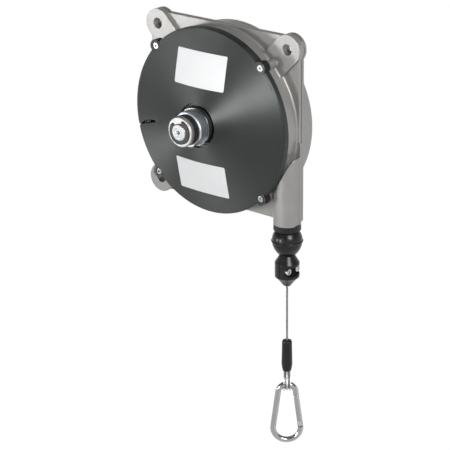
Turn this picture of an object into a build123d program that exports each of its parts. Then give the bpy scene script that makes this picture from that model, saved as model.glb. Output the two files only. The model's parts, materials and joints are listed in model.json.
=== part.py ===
from build123d import *
import math
import os

# Spring balancer for a hand tool. It is drawn about the drum axis, which is Y, with +Y to the rear,
# +X to the right and +Z up, and y = 0 at the edge of the cover's face. At the end every piece is
# moved so that the origin is the centre of the hanging eye. Lengths are in millimetres.

# Clearances
running_gap = 0.05
seat_gap = 0.3
casting_gap = 0.1

# Cable
cable_radius = 1.0
cable_lift = 1.7

# Cable drum, which sets the size of the housing round it
first_groove_radius = 80.8
groove_pitch = 3.0
groove_count = 6
groove_slope = 0.28
drum_rim_depth = 5.8
drum_front_lip_height = 1.2
drum_rear_lip_height = 2.2
lip_thickness = 1.5
drum_web = 3.0
drum_web_recess = 3.0
drum_hub_wall = 4.95
drum_hub_depth = 7.0
bush_wall = 2.0
bush_length = 4.0
spring_plate = 1.5
plate_screw_count = 6
plate_screw_radius = 1.2
plate_screw_head_radius = 2.1
plate_screw_head_height = 1.4
plate_screw_length = 6.0
cable_stop_radius = 2.4
cable_stop_length = 6.0
cable_stop_depth = 4.2

# Power spring
strip_thickness = 1.2
strip_width = 17.3
strip_half_turns = 14
strip_tab = 2.6
spring_pin_radius = 2.0
spring_pin_seat = 2.0

# Housing
drum_side_gap = 0.38
drum_rear_gap = 5.0
front_drum_wall = 4.3
rear_drum_wall = 5.5
rear_wall = 3.5
front_drum_depth = 17.6
flange_half_thickness = 3.6
flange_lap = 0.8
flange_chamfer = 2.5
base_fillet = 2.2
rear_round = 1.5
seam_width = 0.3
seam_depth = 0.4
rear_boss_wall = 5.45
rear_bush_wall = 2.0
rear_bush_length = 6.0
rear_bush_cover = 1.5
lug_radius = 15.0
eye_radius = 5.5
pad_height = 4.1

# Front cover
cover_lap = 3.0
cover_edge_round = 2.3
cover_depth = 8.0
cover_rise = 16.8
cover_wall = 3.0
cover_spigot = 2.0
recess_radius = 22.8
recess_depth = 3.0
hub_hole_gap = 1.3
hub_depth = 7.0
hub_web = 4.0

# Slot and step in the cover's face, left of the hub, as points (in from the face's edge, height)
slot_tip = (2.0, -20.8)
slot_crown = (13.0, -13.4)
slot_end = (27.5, -9.6)
slot_end_height = 2.6
step_rim_point = (-4.0, -24.0)
step_hub_point = (72.0, 3.7)
step_height = 2.6
step_depth = 2.0

# Cover screws, in ears that stand out from the cover's edge
screw_radius = 2.0
screw_head_radius = 3.2
screw_head_height = 3.0
screw_head_gap = 0.4
screw_seat = 3.0
screw_bite = 8.4
screw_stand_out = 1.7
socket_radius = 1.5
socket_depth = 1.6
ear_wall = 2.9
ear_front = -0.8
boss_wall = 2.75
boss_cap = 3.4

# Arbor and the stack of pieces on it
arbor_radius = 8.5
arbor_step = 3.5
arbor_tip_chamfer = 0.8
centre_mark_radius = 2.0
ring_setback = 1.0
ring_thickness = 1.2
ring_groove_depth = 0.6
ring_width = 3.8
ring_gap_angle = 64.0
ring_gap_middle = 106.0
washer_radius = 15.2
washer_thickness = 4.4
washer_chamfer = 0.8
disc_count = 4
disc_radius = 15.6
disc_pitch = 1.5
disc_thickness = 0.9
nut_radius = 18.0
nut_length = 10.0
nut_chamfer = 1.0
nut_flat_depth = 1.6
nut_flat_directions = (-45, 135)
nut_neck_step = 1.5
nut_neck_length = 1.0
key_size = 4.0
collar_rim = 1.0
collar_length = 10.65
collar_sleeve_wall = 5.45
collar_sleeve_reach = 2.0
notch_direction = -42
notch_depth = 2.0
notch_half_width = 1.4

# Cable tube and guide bush
guide_radius = 9.0
guide_length = 28.0
guide_flange_height = 7.4
guide_flange_radius = 13.9
guide_foot_step = 2.0
guide_foot_height = 1.4
guide_throat_gap = 1.0
guide_mouth_radius = 5.0
guide_flare = 9.0
tube_wall = 5.0
tube_flat_depth = 0.6
tube_side_step = 0.6
tube_foot = 0.3
tube_length = 84.6
tube_cover_gap = 0.5
tube_channel_radius = 5.6
tube_channel_overlap = 5.623
tube_channel_wall = 1.5

# The line that the tube's top is cut off along beside the drum, seen from the front. Its points
# are given as (right of the cable, above the tube's foot).
relief_right = (16.5, 77.3)
relief_bend = (-3.5, 38.0)
relief_left = (-15.5, 25.1)

# Bumper ball
ball_top_radius = 11.6
ball_radius = 15.3
ball_upper_bulge = 1.0
ball_lower_bulge = 1.9
ball_upper_height = 10.4
ball_lower_height = 15.3
ridge_height = 0.9
ridge_half_width = 1.0
ball_bottom_radius = 7.6

# Cable clamp
clamp_cone = 8.0
clamp_radius = 12.5
clamp_barrel = 15.0
clamp_taper = 4.5
clamp_tail_radius = 8.2
clamp_tip_height = 5.8
clamp_tip_radius = 3.6
clamp_split = 0.6
clamp_grip_height = 3.0
clamp_screw_radius = 2.0
clamp_screw_edge = 3.5
clamp_head_radius = 3.4
clamp_head_height = 3.0
clamp_screw_reach = 9.0
clamp_channel_floor = 5.0
clamp_channel_side_gap = 1.6
clamp_channel_end_gap = 1.8

# Ferrule, sleeve and thimble, which hang turned about the cable with the hook
hook_turn = 39.9
free_cable_length = 60.5
sleeve_length = 34.5
sleeve_radius = 5.15
sleeve_end_radius = 2.8
sleeve_bulge = 0.5
sleeve_top_round = 1.8
sleeve_foot = 8.0
ferrule_radius = 3.4
ferrule_inset = 5.6
ferrule_length = 21.3
eye_leg_offset = 1.1
eye_radius_of_cable = 6.2
thimble_half_width = 3.6
thimble_wall = 0.8
thimble_drop = 1.0
thimble_gap = 0.42
leg_setback = 0.4

# Snap hook
hook_drop = 12.5
hook_length = 70.0
rod_radius = 3.1
hook_top_width = 24.2
hook_bottom_width = 34.6
gate_hinge_height = 22.5
nose_drop = 15.4
nose_length = 4.6
latch_drop = 2.85
gate_radius = 3.0
gate_flat = 0.6
gate_end_gap = 0.4
shoulder_gap = 0.9
tongue_thickness = 2.3
tongue_setback = 0.2
tongue_gap = 0.2
gate_pin_radius = 1.2
gate_pin_head_radius = 2.0
gate_pin_head = 0.5
latch_pin_radius = 0.8
latch_gap = 0.3
gate_spring_radius = 1.1
gate_spring_length = 10.0


def groove_radius(index):
    """The radius of the cable's centre line in a groove, counted from the small front end."""
    return first_groove_radius + groove_slope * groove_pitch * index


# Radii about the drum axis, from the cable drum outwards
drum_rim_inner_radius = first_groove_radius - drum_rim_depth
drum_lip_radius = groove_radius(groove_count - 0.5) + drum_rear_lip_height
cavity_radius = drum_lip_radius + drum_side_gap
spigot_radius = cavity_radius - casting_gap
drum_wall_radius = cavity_radius + front_drum_wall
rear_drum_radius = cavity_radius + rear_drum_wall
cover_radius = drum_wall_radius + cover_lap
cover_face_radius = cover_radius - cover_edge_round
flange_half_size = rear_drum_radius + flange_lap

# Radii about the drum axis, from the arbor outwards
arbor_middle_radius = arbor_radius + arbor_step
bush_outer_radius = arbor_middle_radius + running_gap + bush_wall
drum_hub_radius = bush_outer_radius + drum_hub_wall
rear_bush_radius = arbor_radius + running_gap + rear_bush_wall
rear_boss_radius = rear_bush_radius + rear_boss_wall
ring_outer_radius = arbor_radius + ring_width
nut_neck_radius = nut_radius - nut_neck_step
collar_radius = nut_radius + collar_rim
collar_sleeve_radius = arbor_radius + running_gap + collar_sleeve_wall
hub_hole_radius = collar_radius + hub_hole_gap

# The cable hangs below the hanging eye, beside the drum's first groove.
cable_x = first_groove_radius + cable_lift
lug_offset = cable_x
tube_radius = guide_radius + tube_wall
tube_flat = tube_radius - tube_flat_depth
tongue_radius = gate_radius - tongue_setback
gate_fork_width = 2 * gate_radius - gate_flat
cable_y = cover_depth + tube_cover_gap + tube_radius

# Planes along the drum axis, from the cover backwards
hub_front = -cover_rise
recess_floor = hub_front + recess_depth
hub_web_front = hub_front + hub_depth
flange_front = cover_depth + front_drum_depth
parting_y = flange_front + flange_half_thickness
flange_rear = parting_y + flange_half_thickness
pad_front = flange_front - pad_height
eye_middle = (pad_front + flange_rear) / 2
last_groove_y = cable_y + groove_pitch * (groove_count - 1)
drum_rear = last_groove_y + groove_pitch / 2 + lip_thickness
web_rear = drum_rear - drum_web_recess
web_front = web_rear - drum_web
drum_hub_front = web_rear - drum_hub_depth
strip_rear = drum_hub_front - 2 * seat_gap
strip_front = strip_rear - strip_width
drum_rim_front = strip_front - 2 * seat_gap
plate_front = drum_rim_front - spring_plate
cavity_rear = drum_rear + drum_rear_gap
rear_face = cavity_rear + rear_wall
rear_bush_front = rear_face - rear_bush_cover - rear_bush_length
screw_tip = parting_y + screw_bite

# The stack on the arbor, from the cover's web forwards, and the arbor's shoulders
collar_front = hub_web_front - collar_length
nut_rear = collar_front - running_gap - nut_neck_length
nut_front = nut_rear - nut_length
discs_front = nut_front - disc_count * disc_pitch
washer_front = discs_front - washer_thickness
ring_front = washer_front - ring_thickness
arbor_front = ring_front - ring_setback
collar_rear = hub_web_front + hub_web + collar_sleeve_reach
arbor_shoulder = collar_rear + seat_gap
arbor_rear_shoulder = rear_bush_front - seat_gap
arbor_rear = rear_bush_front + rear_bush_length - seat_gap
at_key = Pos(0, (nut_front + nut_rear) / 2, arbor_radius)

# Heights below the drum axis, down the cable
tube_bottom = -(flange_half_size + tube_foot)
tube_top = tube_bottom + tube_length
cavity_above_tube = -math.sqrt(cavity_radius**2 - cable_x**2)
tube_channel_top = cavity_above_tube + tube_channel_overlap
guide_bottom = tube_bottom - guide_flange_height
ball_top = guide_bottom - seat_gap
ball_middle = ball_top - ball_upper_height
ball_bottom = ball_middle - ball_lower_height
clamp_shoulder = ball_bottom - clamp_cone
clamp_hip = clamp_shoulder - clamp_barrel
clamp_screw_z = (clamp_shoulder + clamp_hip) / 2
clamp_grip = clamp_hip + clamp_grip_height
clamp_tail = clamp_hip - clamp_taper
clamp_tip = clamp_tail - clamp_tip_height
sleeve_top = clamp_tip - free_cable_length
sleeve_bottom = sleeve_top - sleeve_length
ferrule_top = sleeve_top - ferrule_inset
ferrule_bottom = ferrule_top - ferrule_length
thimble_top = sleeve_bottom - thimble_drop
hook_top = sleeve_bottom - hook_drop
nose_z = hook_top - nose_drop
gate_hinge_z = hook_top - hook_length + gate_hinge_height

# Places of the cover screws and of the clamp's screws
ear_radius = screw_head_radius + screw_head_gap + ear_wall
ear_offset = (drum_wall_radius + screw_stand_out) / math.sqrt(2)
boss_radius = screw_radius + boss_wall
clamp_screw_spacing = 2 * (clamp_radius - clamp_screw_radius - clamp_screw_edge)
clamp_channel_length = clamp_screw_spacing + 2 * (clamp_head_radius + clamp_channel_end_gap)
clamp_channel_height = 2 * (clamp_head_radius + clamp_channel_side_gap)

# How steep the cover's cone is, and where its face ends at the left
cone_slope = cover_rise / (cover_face_radius - recess_radius)
face_left = -cover_face_radius


# How far a quarter round's middle lies in from the sides that it joins, as a share of its radius
arc_share = 1 - math.sqrt(0.5)


def slab(sketch, front, rear):
    """A plate with the outline of a sketch drawn in X and Z, from one y to another."""
    return extrude(Plane.XZ.offset(-front) * sketch, amount=front - rear)


def rod(radius, front, rear, x=0.0, z=0.0):
    """A cylinder along Y."""
    return slab(Pos(x, z) * Circle(radius), front, rear)


def turned(*points):
    """A piece turned about the drum axis, from its section as (radius, y) points."""
    return revolve(make_face(Polyline(*points, close=True)), Axis.Y)


def turned_edges(*edges):
    """A piece turned about the drum axis, from the edges of its section."""
    return revolve(make_face(list(edges)), Axis.Y)


def quarter_round(start, end, centre_side):
    """A quarter round between two section points. Its centre shares X with one and Y with the other."""
    share = math.sqrt(0.5)
    x0, y0 = start
    x1, y1 = end
    cx, cy = (x0, y1) if centre_side == "start" else (x1, y0)
    middle = (cx + share * (x0 - cx + x1 - cx), cy + share * (y0 - cy + y1 - cy))
    return ThreePointArc(start, middle, end)


def hanging(profile):
    """A piece turned about the cable, from its section as (radius, z) points or a face."""
    face = profile if isinstance(profile, Face) else make_face(Polyline(*profile, close=True)).face()
    return Pos(cable_x, cable_y, 0) * revolve(Plane.XZ * face, Axis.Z)


def corners(offset, names):
    """Points at the named corners of a square, given as pairs of signs."""
    return [(offset * sx, offset * sz) for sx, sz in names]


every_corner = [(-1, 1), (1, 1), (1, -1), (-1, -1)]
lug_corners = [(1, 1), (-1, 1), (-1, -1)]


def flange_outline(inset=0.0):
    """The square flange with rounded corners that the lugs bulge out of, and a chamfered fourth."""
    half_size = flange_half_size - inset
    square = Rectangle(2 * half_size, 2 * half_size)
    by_tube = square.vertices().sort_by(Axis.X)[-2:].sort_by(Axis.Y)[0:1]
    chamfered = chamfer(by_tube, flange_chamfer)
    at_lugs = []
    for vertex in chamfered.vertices():
        if abs(abs(vertex.X) - half_size) < 1e-6 and abs(abs(vertex.Y) - half_size) < 1e-6:
            at_lugs.append(vertex)
    outline = fillet(at_lugs, half_size - lug_offset)
    for x, z in corners(lug_offset, lug_corners):
        outline += Pos(x, z) * Circle(lug_radius - inset)
    return outline


def seam(front, rear):
    """A fine groove round the flange's edge, where the two castings meet."""
    height = tube_top - tube_bottom
    at_tube = Pos(cable_x, tube_bottom + height / 2) * Rectangle(2 * tube_radius, height)
    return slab(flange_outline() - flange_outline(seam_depth) - at_tube, front, rear)


def pad_outline(x, z):
    """A lug's raised pad: round at the eye, with straight sides that run in to the drum."""
    inward = Pos(x, z) * Rot(0, 0, math.degrees(math.atan2(-z, -x)))
    reach = math.hypot(x, z) - cavity_radius
    strip = inward * Pos(reach / 2, 0) * Rectangle(reach, 2 * lug_radius)
    return strip + Pos(x, z) * Circle(lug_radius)


def tube_body(front, rear, flat):
    """The upright round tube that the cable leaves by, flattened on its right side."""
    height = tube_top - tube_bottom
    middle_z = (tube_top + tube_bottom) / 2
    tube = Pos(cable_x, cable_y, middle_z) * Cylinder(tube_radius, height)
    side = Pos(cable_x + flat / 2 - tube_radius / 2, (front + rear) / 2, middle_z)
    return tube & side * Box(flat + tube_radius, rear - front, height)


def relief_point(point):
    return (cable_x + point[0], tube_bottom + point[1])


def front_tube():
    """The tube's front part, cut off above the slanted line so that it stands clear of the drum."""
    tube_front = cable_y - tube_radius
    channel_front = cable_y - tube_channel_radius - tube_channel_wall
    channel_right = cable_x + tube_channel_radius + tube_channel_wall
    left = relief_point(relief_left)
    right = relief_point(relief_right)
    top = tube_top + tube_radius
    above = make_face(Polyline(
        left,
        relief_point(relief_bend),
        right,
        (right[0], top),
        (left[0], top),
        close=True,
    ))
    beside_channel = Pos((channel_right + right[0]) / 2, (left[1] + top) / 2)
    beside_channel *= Rectangle(right[0] - channel_right, top - left[1])
    tube = tube_body(tube_front, flange_front, tube_flat - tube_side_step)
    tube += tube_body(flange_front, parting_y, tube_flat)
    tube -= slab(above, tube_front - 1, channel_front)
    return tube - slab(above & beside_channel, channel_front - 1, flange_front)


def guide_bore():
    """The bore in the foot of the tube that takes the guide bush."""
    seat_top = tube_bottom + guide_length + seat_gap
    height = seat_top - tube_bottom
    return Pos(cable_x, cable_y, seat_top - height / 2) * Cylinder(guide_radius, height)


def base_ring(front):
    """The front drum's foot, flared out with a round to meet a face of the flange or of a pad."""
    foot = drum_wall_radius + base_fillet
    start = (drum_wall_radius, front - base_fillet)
    outside = quarter_round(start, (foot, front), "end")
    rest = Polyline(
        (foot, front),
        (foot, parting_y),
        (cavity_radius, parting_y),
        (cavity_radius, start[1]),
        start,
    )
    return turned_edges(outside, rest)


def front_casting():
    outline = flange_outline()
    foot = base_ring(flange_front) & slab(outline + Circle(drum_wall_radius), cover_depth, parting_y)
    body = rod(drum_wall_radius, cover_depth, parting_y) + foot + slab(outline, flange_front, parting_y)
    pad_foot = base_ring(pad_front)
    for x, z in corners(lug_offset, lug_corners):
        pad = pad_outline(x, z)
        body += slab(pad, pad_front, parting_y)
        body += pad_foot & slab(pad, cover_depth, parting_y)
    for x, z in corners(ear_offset, every_corner):
        body += rod(boss_radius, cover_depth, flange_front, x, z)
    body += front_tube()
    body -= rod(cavity_radius, cover_depth - 1, parting_y + 1)
    for x, z in corners(lug_offset, lug_corners):
        body -= rod(eye_radius, pad_front - 1, parting_y + 1, x, z)
    for x, z in corners(ear_offset, every_corner):
        body -= rod(screw_radius + casting_gap, cover_depth - 1, parting_y + 1, x, z)
    channel_height = tube_channel_top - tube_bottom
    channel = Pos(cable_x, cable_y, tube_bottom + channel_height / 2)
    body -= channel * Cylinder(tube_channel_radius, channel_height)
    return body - guide_bore() - seam(parting_y - seam_width, parting_y)


def rear_drum():
    """The closed drum behind the flange, with a rounded rear edge."""
    edge_y = rear_face - rear_round
    edge = quarter_round((rear_drum_radius, edge_y), (rear_drum_radius - rear_round, rear_face), "end")
    rest = Polyline(
        (rear_drum_radius - rear_round, rear_face),
        (0, rear_face),
        (0, cavity_rear),
        (cavity_radius, cavity_rear),
        (cavity_radius, parting_y),
        (rear_drum_radius, parting_y),
        (rear_drum_radius, edge_y),
    )
    return turned_edges(edge, rest)


def rear_casting():
    flange = slab(flange_outline(), parting_y, flange_rear)
    body = rear_drum() + (flange - rod(cavity_radius, parting_y - 1, flange_rear + 1))
    body += rod(rear_boss_radius, rear_bush_front, cavity_rear)
    for x, z in corners(ear_offset, every_corner):
        boss = rod(boss_radius, parting_y, screw_tip + seat_gap + boss_cap, x, z)
        body += boss - rod(cavity_radius, parting_y, cavity_rear)
    tube = tube_body(parting_y, cable_y + tube_radius, tube_flat)
    body += tube - rod(cavity_radius, parting_y - 1, cavity_rear)
    for x, z in corners(lug_offset, lug_corners):
        body -= rod(eye_radius, parting_y - 1, flange_rear + 1, x, z)
    for x, z in corners(ear_offset, every_corner):
        body -= rod(screw_radius + running_gap, parting_y - 1, screw_tip + seat_gap, x, z)
    body -= rod(rear_bush_radius, rear_bush_front, rear_bush_front + rear_bush_length)
    return body - guide_bore() - seam(parting_y, parting_y + seam_width)


def cover_face_y(radius):
    """Where the cover's conical face lies at a radius."""
    return hub_front + cone_slope * (radius - recess_radius)


def cover_shell():
    """The cone, the rolled edge and the rim, with a recess and a web in the middle for the collar."""
    hub_tube_radius = recess_radius + cover_wall
    inner_edge = spigot_radius - cover_wall
    outside = Polyline(
        (hub_hole_radius, hub_web_front),
        (hub_hole_radius, recess_floor),
        (recess_radius, recess_floor),
        (recess_radius, hub_front),
        (cover_face_radius, 0),
    )
    edge = quarter_round((cover_face_radius, 0), (cover_radius, cover_edge_round), "start")
    inside = Polyline(
        (cover_radius, cover_edge_round),
        (cover_radius, cover_depth),
        (spigot_radius, cover_depth),
        (spigot_radius, cover_depth + cover_spigot),
        (inner_edge, cover_depth + cover_spigot),
        (inner_edge, cover_face_y(inner_edge) + cover_wall),
        (hub_tube_radius, cover_face_y(hub_tube_radius) + cover_wall),
        (hub_tube_radius, hub_web_front + hub_web),
        (collar_sleeve_radius + running_gap, hub_web_front + hub_web),
        (collar_sleeve_radius + running_gap, hub_web_front),
        (hub_hole_radius, hub_web_front),
    )
    return turned_edges(outside, edge, inside)


def on_face(point):
    return (face_left + point[0], point[1])


def cover_slot():
    """The slot through the cover near its left edge."""
    tip = on_face(slot_tip)
    end = on_face(slot_end)
    upper = ThreePointArc(tip, on_face(slot_crown), end)
    lower = Polyline(end, (end[0], end[1] - slot_end_height), tip)
    return slab(make_face([upper, lower]), hub_front, cover_depth)


def cover_step():
    """The shallow step across the face, from the slot to the hub."""
    x0, z0 = on_face(step_rim_point)
    x1, z1 = on_face(step_hub_point)
    outline = Polyline((x0, z0), (x1, z1), (x1, z1 + step_height), (x0, z0 + step_height), close=True)
    band = slab(make_face(outline), hub_front - 1, cover_depth / 2)
    floor = turned(
        (0, cover_face_y(0) + step_depth),
        (cover_radius + 1, cover_face_y(cover_radius + 1) + step_depth),
        (cover_radius + 1, cover_depth),
        (0, cover_depth),
    )
    return band - floor


def front_cover():
    cover = cover_shell()
    for x, z in corners(ear_offset, every_corner):
        ear = rod(ear_radius, ear_front, cover_depth, x, z)
        cover += ear - rod(cover_radius - cover_wall, ear_front - 1, cover_depth + 1)
    for x, z in corners(ear_offset, every_corner):
        cover -= rod(screw_radius + casting_gap, -1, cover_depth + 1, x, z)
        cover -= rod(screw_head_radius + screw_head_gap, hub_front, screw_seat, x, z)
    return cover - cover_step() - cover_slot()


def cover_screw(x, z):
    head_front = screw_seat - screw_head_height
    head = rod(screw_head_radius, head_front, screw_seat, x, z)
    shank = rod(screw_radius, screw_seat, screw_tip, x, z)
    hexagon = Pos(x, z) * RegularPolygon(socket_radius, 6)
    return head + shank - slab(hexagon, head_front, head_front + socket_depth)


def cover_screws():
    return [cover_screw(x, z) for x, z in corners(ear_offset, every_corner)]


def guide_bush():
    top = tube_bottom + guide_length
    throat = cable_radius + guide_throat_gap
    spigot = guide_radius - running_gap
    return hanging([
        (throat, guide_bottom + guide_flare),
        (throat, top - guide_flare),
        (guide_mouth_radius, top),
        (spigot, top),
        (spigot, tube_bottom),
        (guide_flange_radius, tube_bottom),
        (guide_flange_radius, guide_bottom + guide_foot_height),
        (guide_flange_radius - guide_foot_step, guide_bottom),
        (guide_mouth_radius, guide_bottom),
    ])


def rear_bush():
    bush = rod(rear_bush_radius - running_gap, rear_bush_front, rear_bush_front + rear_bush_length)
    return bush - rod(arbor_radius + running_gap, rear_bush_front, rear_bush_front + rear_bush_length)


def ratchet_collar():
    """The fixed collar in the cover that the nut works against. It also carries the arbor's front."""
    bore = arbor_radius + running_gap
    collar = turned(
        (bore, collar_front),
        (collar_radius, collar_front),
        (collar_radius, hub_web_front),
        (collar_sleeve_radius, hub_web_front),
        (collar_sleeve_radius, collar_rear),
        (bore, collar_rear),
    )
    outer = collar_radius + notch_half_width
    half_width = notch_half_width * (outer - collar_radius + notch_depth) / notch_depth
    notch = make_face(Polyline(
        (collar_radius - notch_depth, 0),
        (outer, half_width),
        (outer, -half_width),
        close=True,
    ))
    return collar - slab(Rot(0, 0, notch_direction) * notch, collar_front - 1, hub_web_front)


def arbor():
    shaft = turned(
        (0, arbor_front + centre_mark_radius),
        (centre_mark_radius, arbor_front),
        (arbor_radius - arbor_tip_chamfer, arbor_front),
        (arbor_radius, arbor_front + arbor_tip_chamfer),
        (arbor_radius, ring_front),
        (arbor_radius - ring_groove_depth, ring_front),
        (arbor_radius - ring_groove_depth, ring_front + ring_thickness),
        (arbor_radius, ring_front + ring_thickness),
        (arbor_radius, arbor_shoulder),
        (arbor_middle_radius, arbor_shoulder),
        (arbor_middle_radius, arbor_rear_shoulder),
        (arbor_radius, arbor_rear_shoulder),
        (arbor_radius, arbor_rear),
        (0, arbor_rear),
    )
    shaft -= at_key * Box(key_size + 2 * running_gap, nut_length, key_size + 2 * running_gap)
    tab_slot = Rectangle(strip_tab * 2, strip_thickness + 2 * running_gap)
    shaft -= slab(Pos(arbor_middle_radius, 0) * tab_slot, strip_front - seat_gap, strip_rear + seat_gap)
    return shaft


def nut_key():
    return at_key * Box(key_size, nut_length, key_size)


def adjusting_nut():
    nut = turned(
        (arbor_radius + running_gap, nut_front),
        (nut_radius - nut_chamfer, nut_front),
        (nut_radius, nut_front + nut_chamfer),
        (nut_radius, nut_rear),
        (nut_neck_radius, nut_rear),
        (nut_neck_radius, nut_rear + nut_neck_length),
        (arbor_radius + running_gap, nut_rear + nut_neck_length),
    )
    for direction in nut_flat_directions:
        away = Rot(0, -direction, 0) * Pos(2 * nut_radius - nut_flat_depth, (nut_front + nut_rear) / 2, 0)
        nut -= away * Box(2 * nut_radius, nut_length, 4 * nut_radius)
    key_room = key_size + 2 * running_gap
    return nut - at_key * Box(key_room, nut_length + 2 * nut_neck_length, key_room)


def disc_spring(index):
    """A conical disc. Neighbours lean opposite ways, so they meet in turn at the rim and the bore."""
    front = discs_front + index * disc_pitch
    rise = disc_pitch - disc_thickness
    at_bore, at_rim = (0, rise) if index % 2 else (rise, 0)
    bore = arbor_radius + running_gap
    return turned(
        (bore, front + at_bore),
        (disc_radius, front + at_rim),
        (disc_radius, front + at_rim + disc_thickness),
        (bore, front + at_bore + disc_thickness),
    )


def disc_springs():
    return [disc_spring(index) for index in range(disc_count)]


def thrust_washer():
    bore = arbor_radius + running_gap
    return turned(
        (bore, washer_front),
        (washer_radius - washer_chamfer, washer_front),
        (washer_radius, washer_front + washer_chamfer),
        (washer_radius, discs_front),
        (bore, discs_front),
    )


def retaining_ring():
    """An open ring in the arbor's groove, with its gap at the upper left."""
    inner = arbor_radius - ring_groove_depth + running_gap
    ring = Circle(ring_outer_radius) - Circle(inner)
    start = math.radians(ring_gap_middle - ring_gap_angle / 2)
    end = math.radians(ring_gap_middle + ring_gap_angle / 2)
    reach = 2 * ring_outer_radius
    wedge = Polyline(
        (0, 0),
        (reach * math.cos(start), reach * math.sin(start)),
        (reach * math.cos(end), reach * math.sin(end)),
        close=True,
    )
    return slab(ring - make_face(wedge), ring_front, washer_front)


def groove_points():
    """The zigzag of the grooves from front to rear: crest, valley, crest."""
    points = []
    for index in range(groove_count):
        middle = cable_y + groove_pitch * index
        valley = groove_radius(index) - cable_radius * math.sqrt(2)
        points.append((groove_radius(index - 0.5), middle - groove_pitch / 2))
        points.append((valley, middle))
    points.append((groove_radius(groove_count - 0.5), last_groove_y + groove_pitch / 2))
    return points


def cable_drum():
    """The tapered drum. The spring lies in its front, and the cable winds on grooves round its rim."""
    rim_front = cable_y - groove_pitch / 2 - lip_thickness
    groove_front = cable_y - groove_pitch / 2
    rim_radius = groove_radius(0) - cable_radius * math.sqrt(2)
    rear_radius = groove_radius(groove_count - 0.5)
    hub_bore = bush_outer_radius
    drum = turned(
        (drum_rim_inner_radius, drum_rim_front),
        (rim_radius, drum_rim_front),
        (rim_radius, rim_front),
        (groove_radius(0) + drum_front_lip_height / 2, rim_front),
        (groove_radius(0), groove_front),
        *groove_points(),
        (rear_radius + drum_rear_lip_height / 2, last_groove_y + groove_pitch / 2),
        (drum_lip_radius, drum_rear),
        (drum_rim_inner_radius, drum_rear),
        (drum_rim_inner_radius, web_rear),
        (drum_hub_radius, web_rear),
        (hub_bore, web_rear),
        (hub_bore, drum_hub_front),
        (drum_hub_radius, drum_hub_front),
        (drum_hub_radius, web_front),
        (drum_rim_inner_radius, web_front),
    )
    for x, z in plate_screw_points():
        drum -= rod(plate_screw_radius + running_gap, drum_rim_front, plate_screw_tip + seat_gap, x, z)
    drum -= rod(spring_pin_radius + running_gap, web_front, web_front + spring_pin_seat, spring_pin_x)
    return drum - at_stop * Cylinder(cable_stop_radius + running_gap, cable_stop_length + seat_gap)


strip_start_radius = arbor_middle_radius + running_gap + strip_thickness / 2
strip_room = drum_rim_inner_radius - seat_gap - strip_thickness / 2 - strip_start_radius
strip_step = strip_room / strip_half_turns
spring_pin_x = drum_rim_inner_radius - seat_gap - strip_thickness - running_gap - spring_pin_radius
plate_screw_circle = (drum_rim_inner_radius + groove_radius(0) - cable_radius * math.sqrt(2)) / 2
plate_screw_tip = plate_front + plate_screw_length
at_stop = Pos(0, last_groove_y, groove_radius(groove_count - 1) - cable_stop_depth) * Rot(0, 90, 0)


def plate_screw_points():
    step = 360 / plate_screw_count
    angles = [math.radians(step * index + step / 2) for index in range(plate_screw_count)]
    return [(plate_screw_circle * math.cos(a), plate_screw_circle * math.sin(a)) for a in angles]


def wound_cable():
    """The part of the wound cable that stands above the grooves, as one plain band."""
    front = cable_y + groove_pitch / 2
    rear = last_groove_y + groove_pitch / 2 - running_gap
    inner = groove_radius(0.5) + running_gap
    outer = groove_radius(groove_count - 0.5) + running_gap
    return turned(
        (inner, front),
        (inner + cable_radius, front),
        (outer + cable_radius, rear),
        (outer, rear),
    )


def cable_stop():
    """The swaged stop that holds the cable's inner end in the drum's rim."""
    return at_stop * Cylinder(cable_stop_radius, cable_stop_length)


def spring_cover():
    """The plate that closes the spring in, with a hub for the drum's front bush."""
    bush_front = drum_rim_front - bush_length
    plate = turned(
        (bush_outer_radius, bush_front),
        (drum_hub_radius, bush_front),
        (drum_hub_radius, plate_front),
        (plate_screw_circle + plate_screw_head_radius, plate_front),
        (plate_screw_circle + plate_screw_head_radius, drum_rim_front),
        (bush_outer_radius, drum_rim_front),
    )
    for x, z in plate_screw_points():
        plate -= rod(plate_screw_radius + running_gap, plate_front - 1, drum_rim_front + 1, x, z)
    return plate


def spring_cover_screws():
    screws = []
    for x, z in plate_screw_points():
        head = rod(plate_screw_head_radius, plate_front - plate_screw_head_height, plate_front, x, z)
        screws.append(head + rod(plate_screw_radius, plate_front, plate_screw_tip, x, z))
    return screws


def drum_bush(rear):
    """A plain bush between the drum and the arbor."""
    outer = bush_outer_radius - running_gap
    inner = arbor_middle_radius + running_gap
    return rod(outer, rear - bush_length, rear) - rod(inner, rear - bush_length, rear)


def spring_outer_pin():
    return rod(spring_pin_radius, strip_front, web_front + spring_pin_seat, spring_pin_x)


def power_spring():
    """The flat spiral spring. Each half turn is an arc, and the centres step from side to side."""
    strip = None
    for index in range(strip_half_turns):
        radius = strip_start_radius + strip_step * index
        centre = strip_step if index % 2 else 0.0
        side = -1 if index % 2 else 1
        reach = 3 * radius
        half = Pos(centre, side * reach / 2) * Rectangle(reach, reach)
        arc = Pos(centre, 0) * (Circle(radius + strip_thickness / 2) - Circle(radius - strip_thickness / 2))
        piece = arc & half
        strip = piece if strip is None else strip + piece
    tab_start = arbor_middle_radius - strip_tab + running_gap
    tab_length = strip_start_radius + strip_thickness / 2 - tab_start
    strip += Pos(tab_start + tab_length / 2, 0) * Rectangle(tab_length, strip_thickness)
    return slab(strip, strip_front, strip_rear)


def feed_cable():
    """The cable from the drum down through the tube and the ball into the clamp."""
    return Pos(cable_x, cable_y, clamp_grip / 2) * Cylinder(cable_radius, -clamp_grip)


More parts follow.
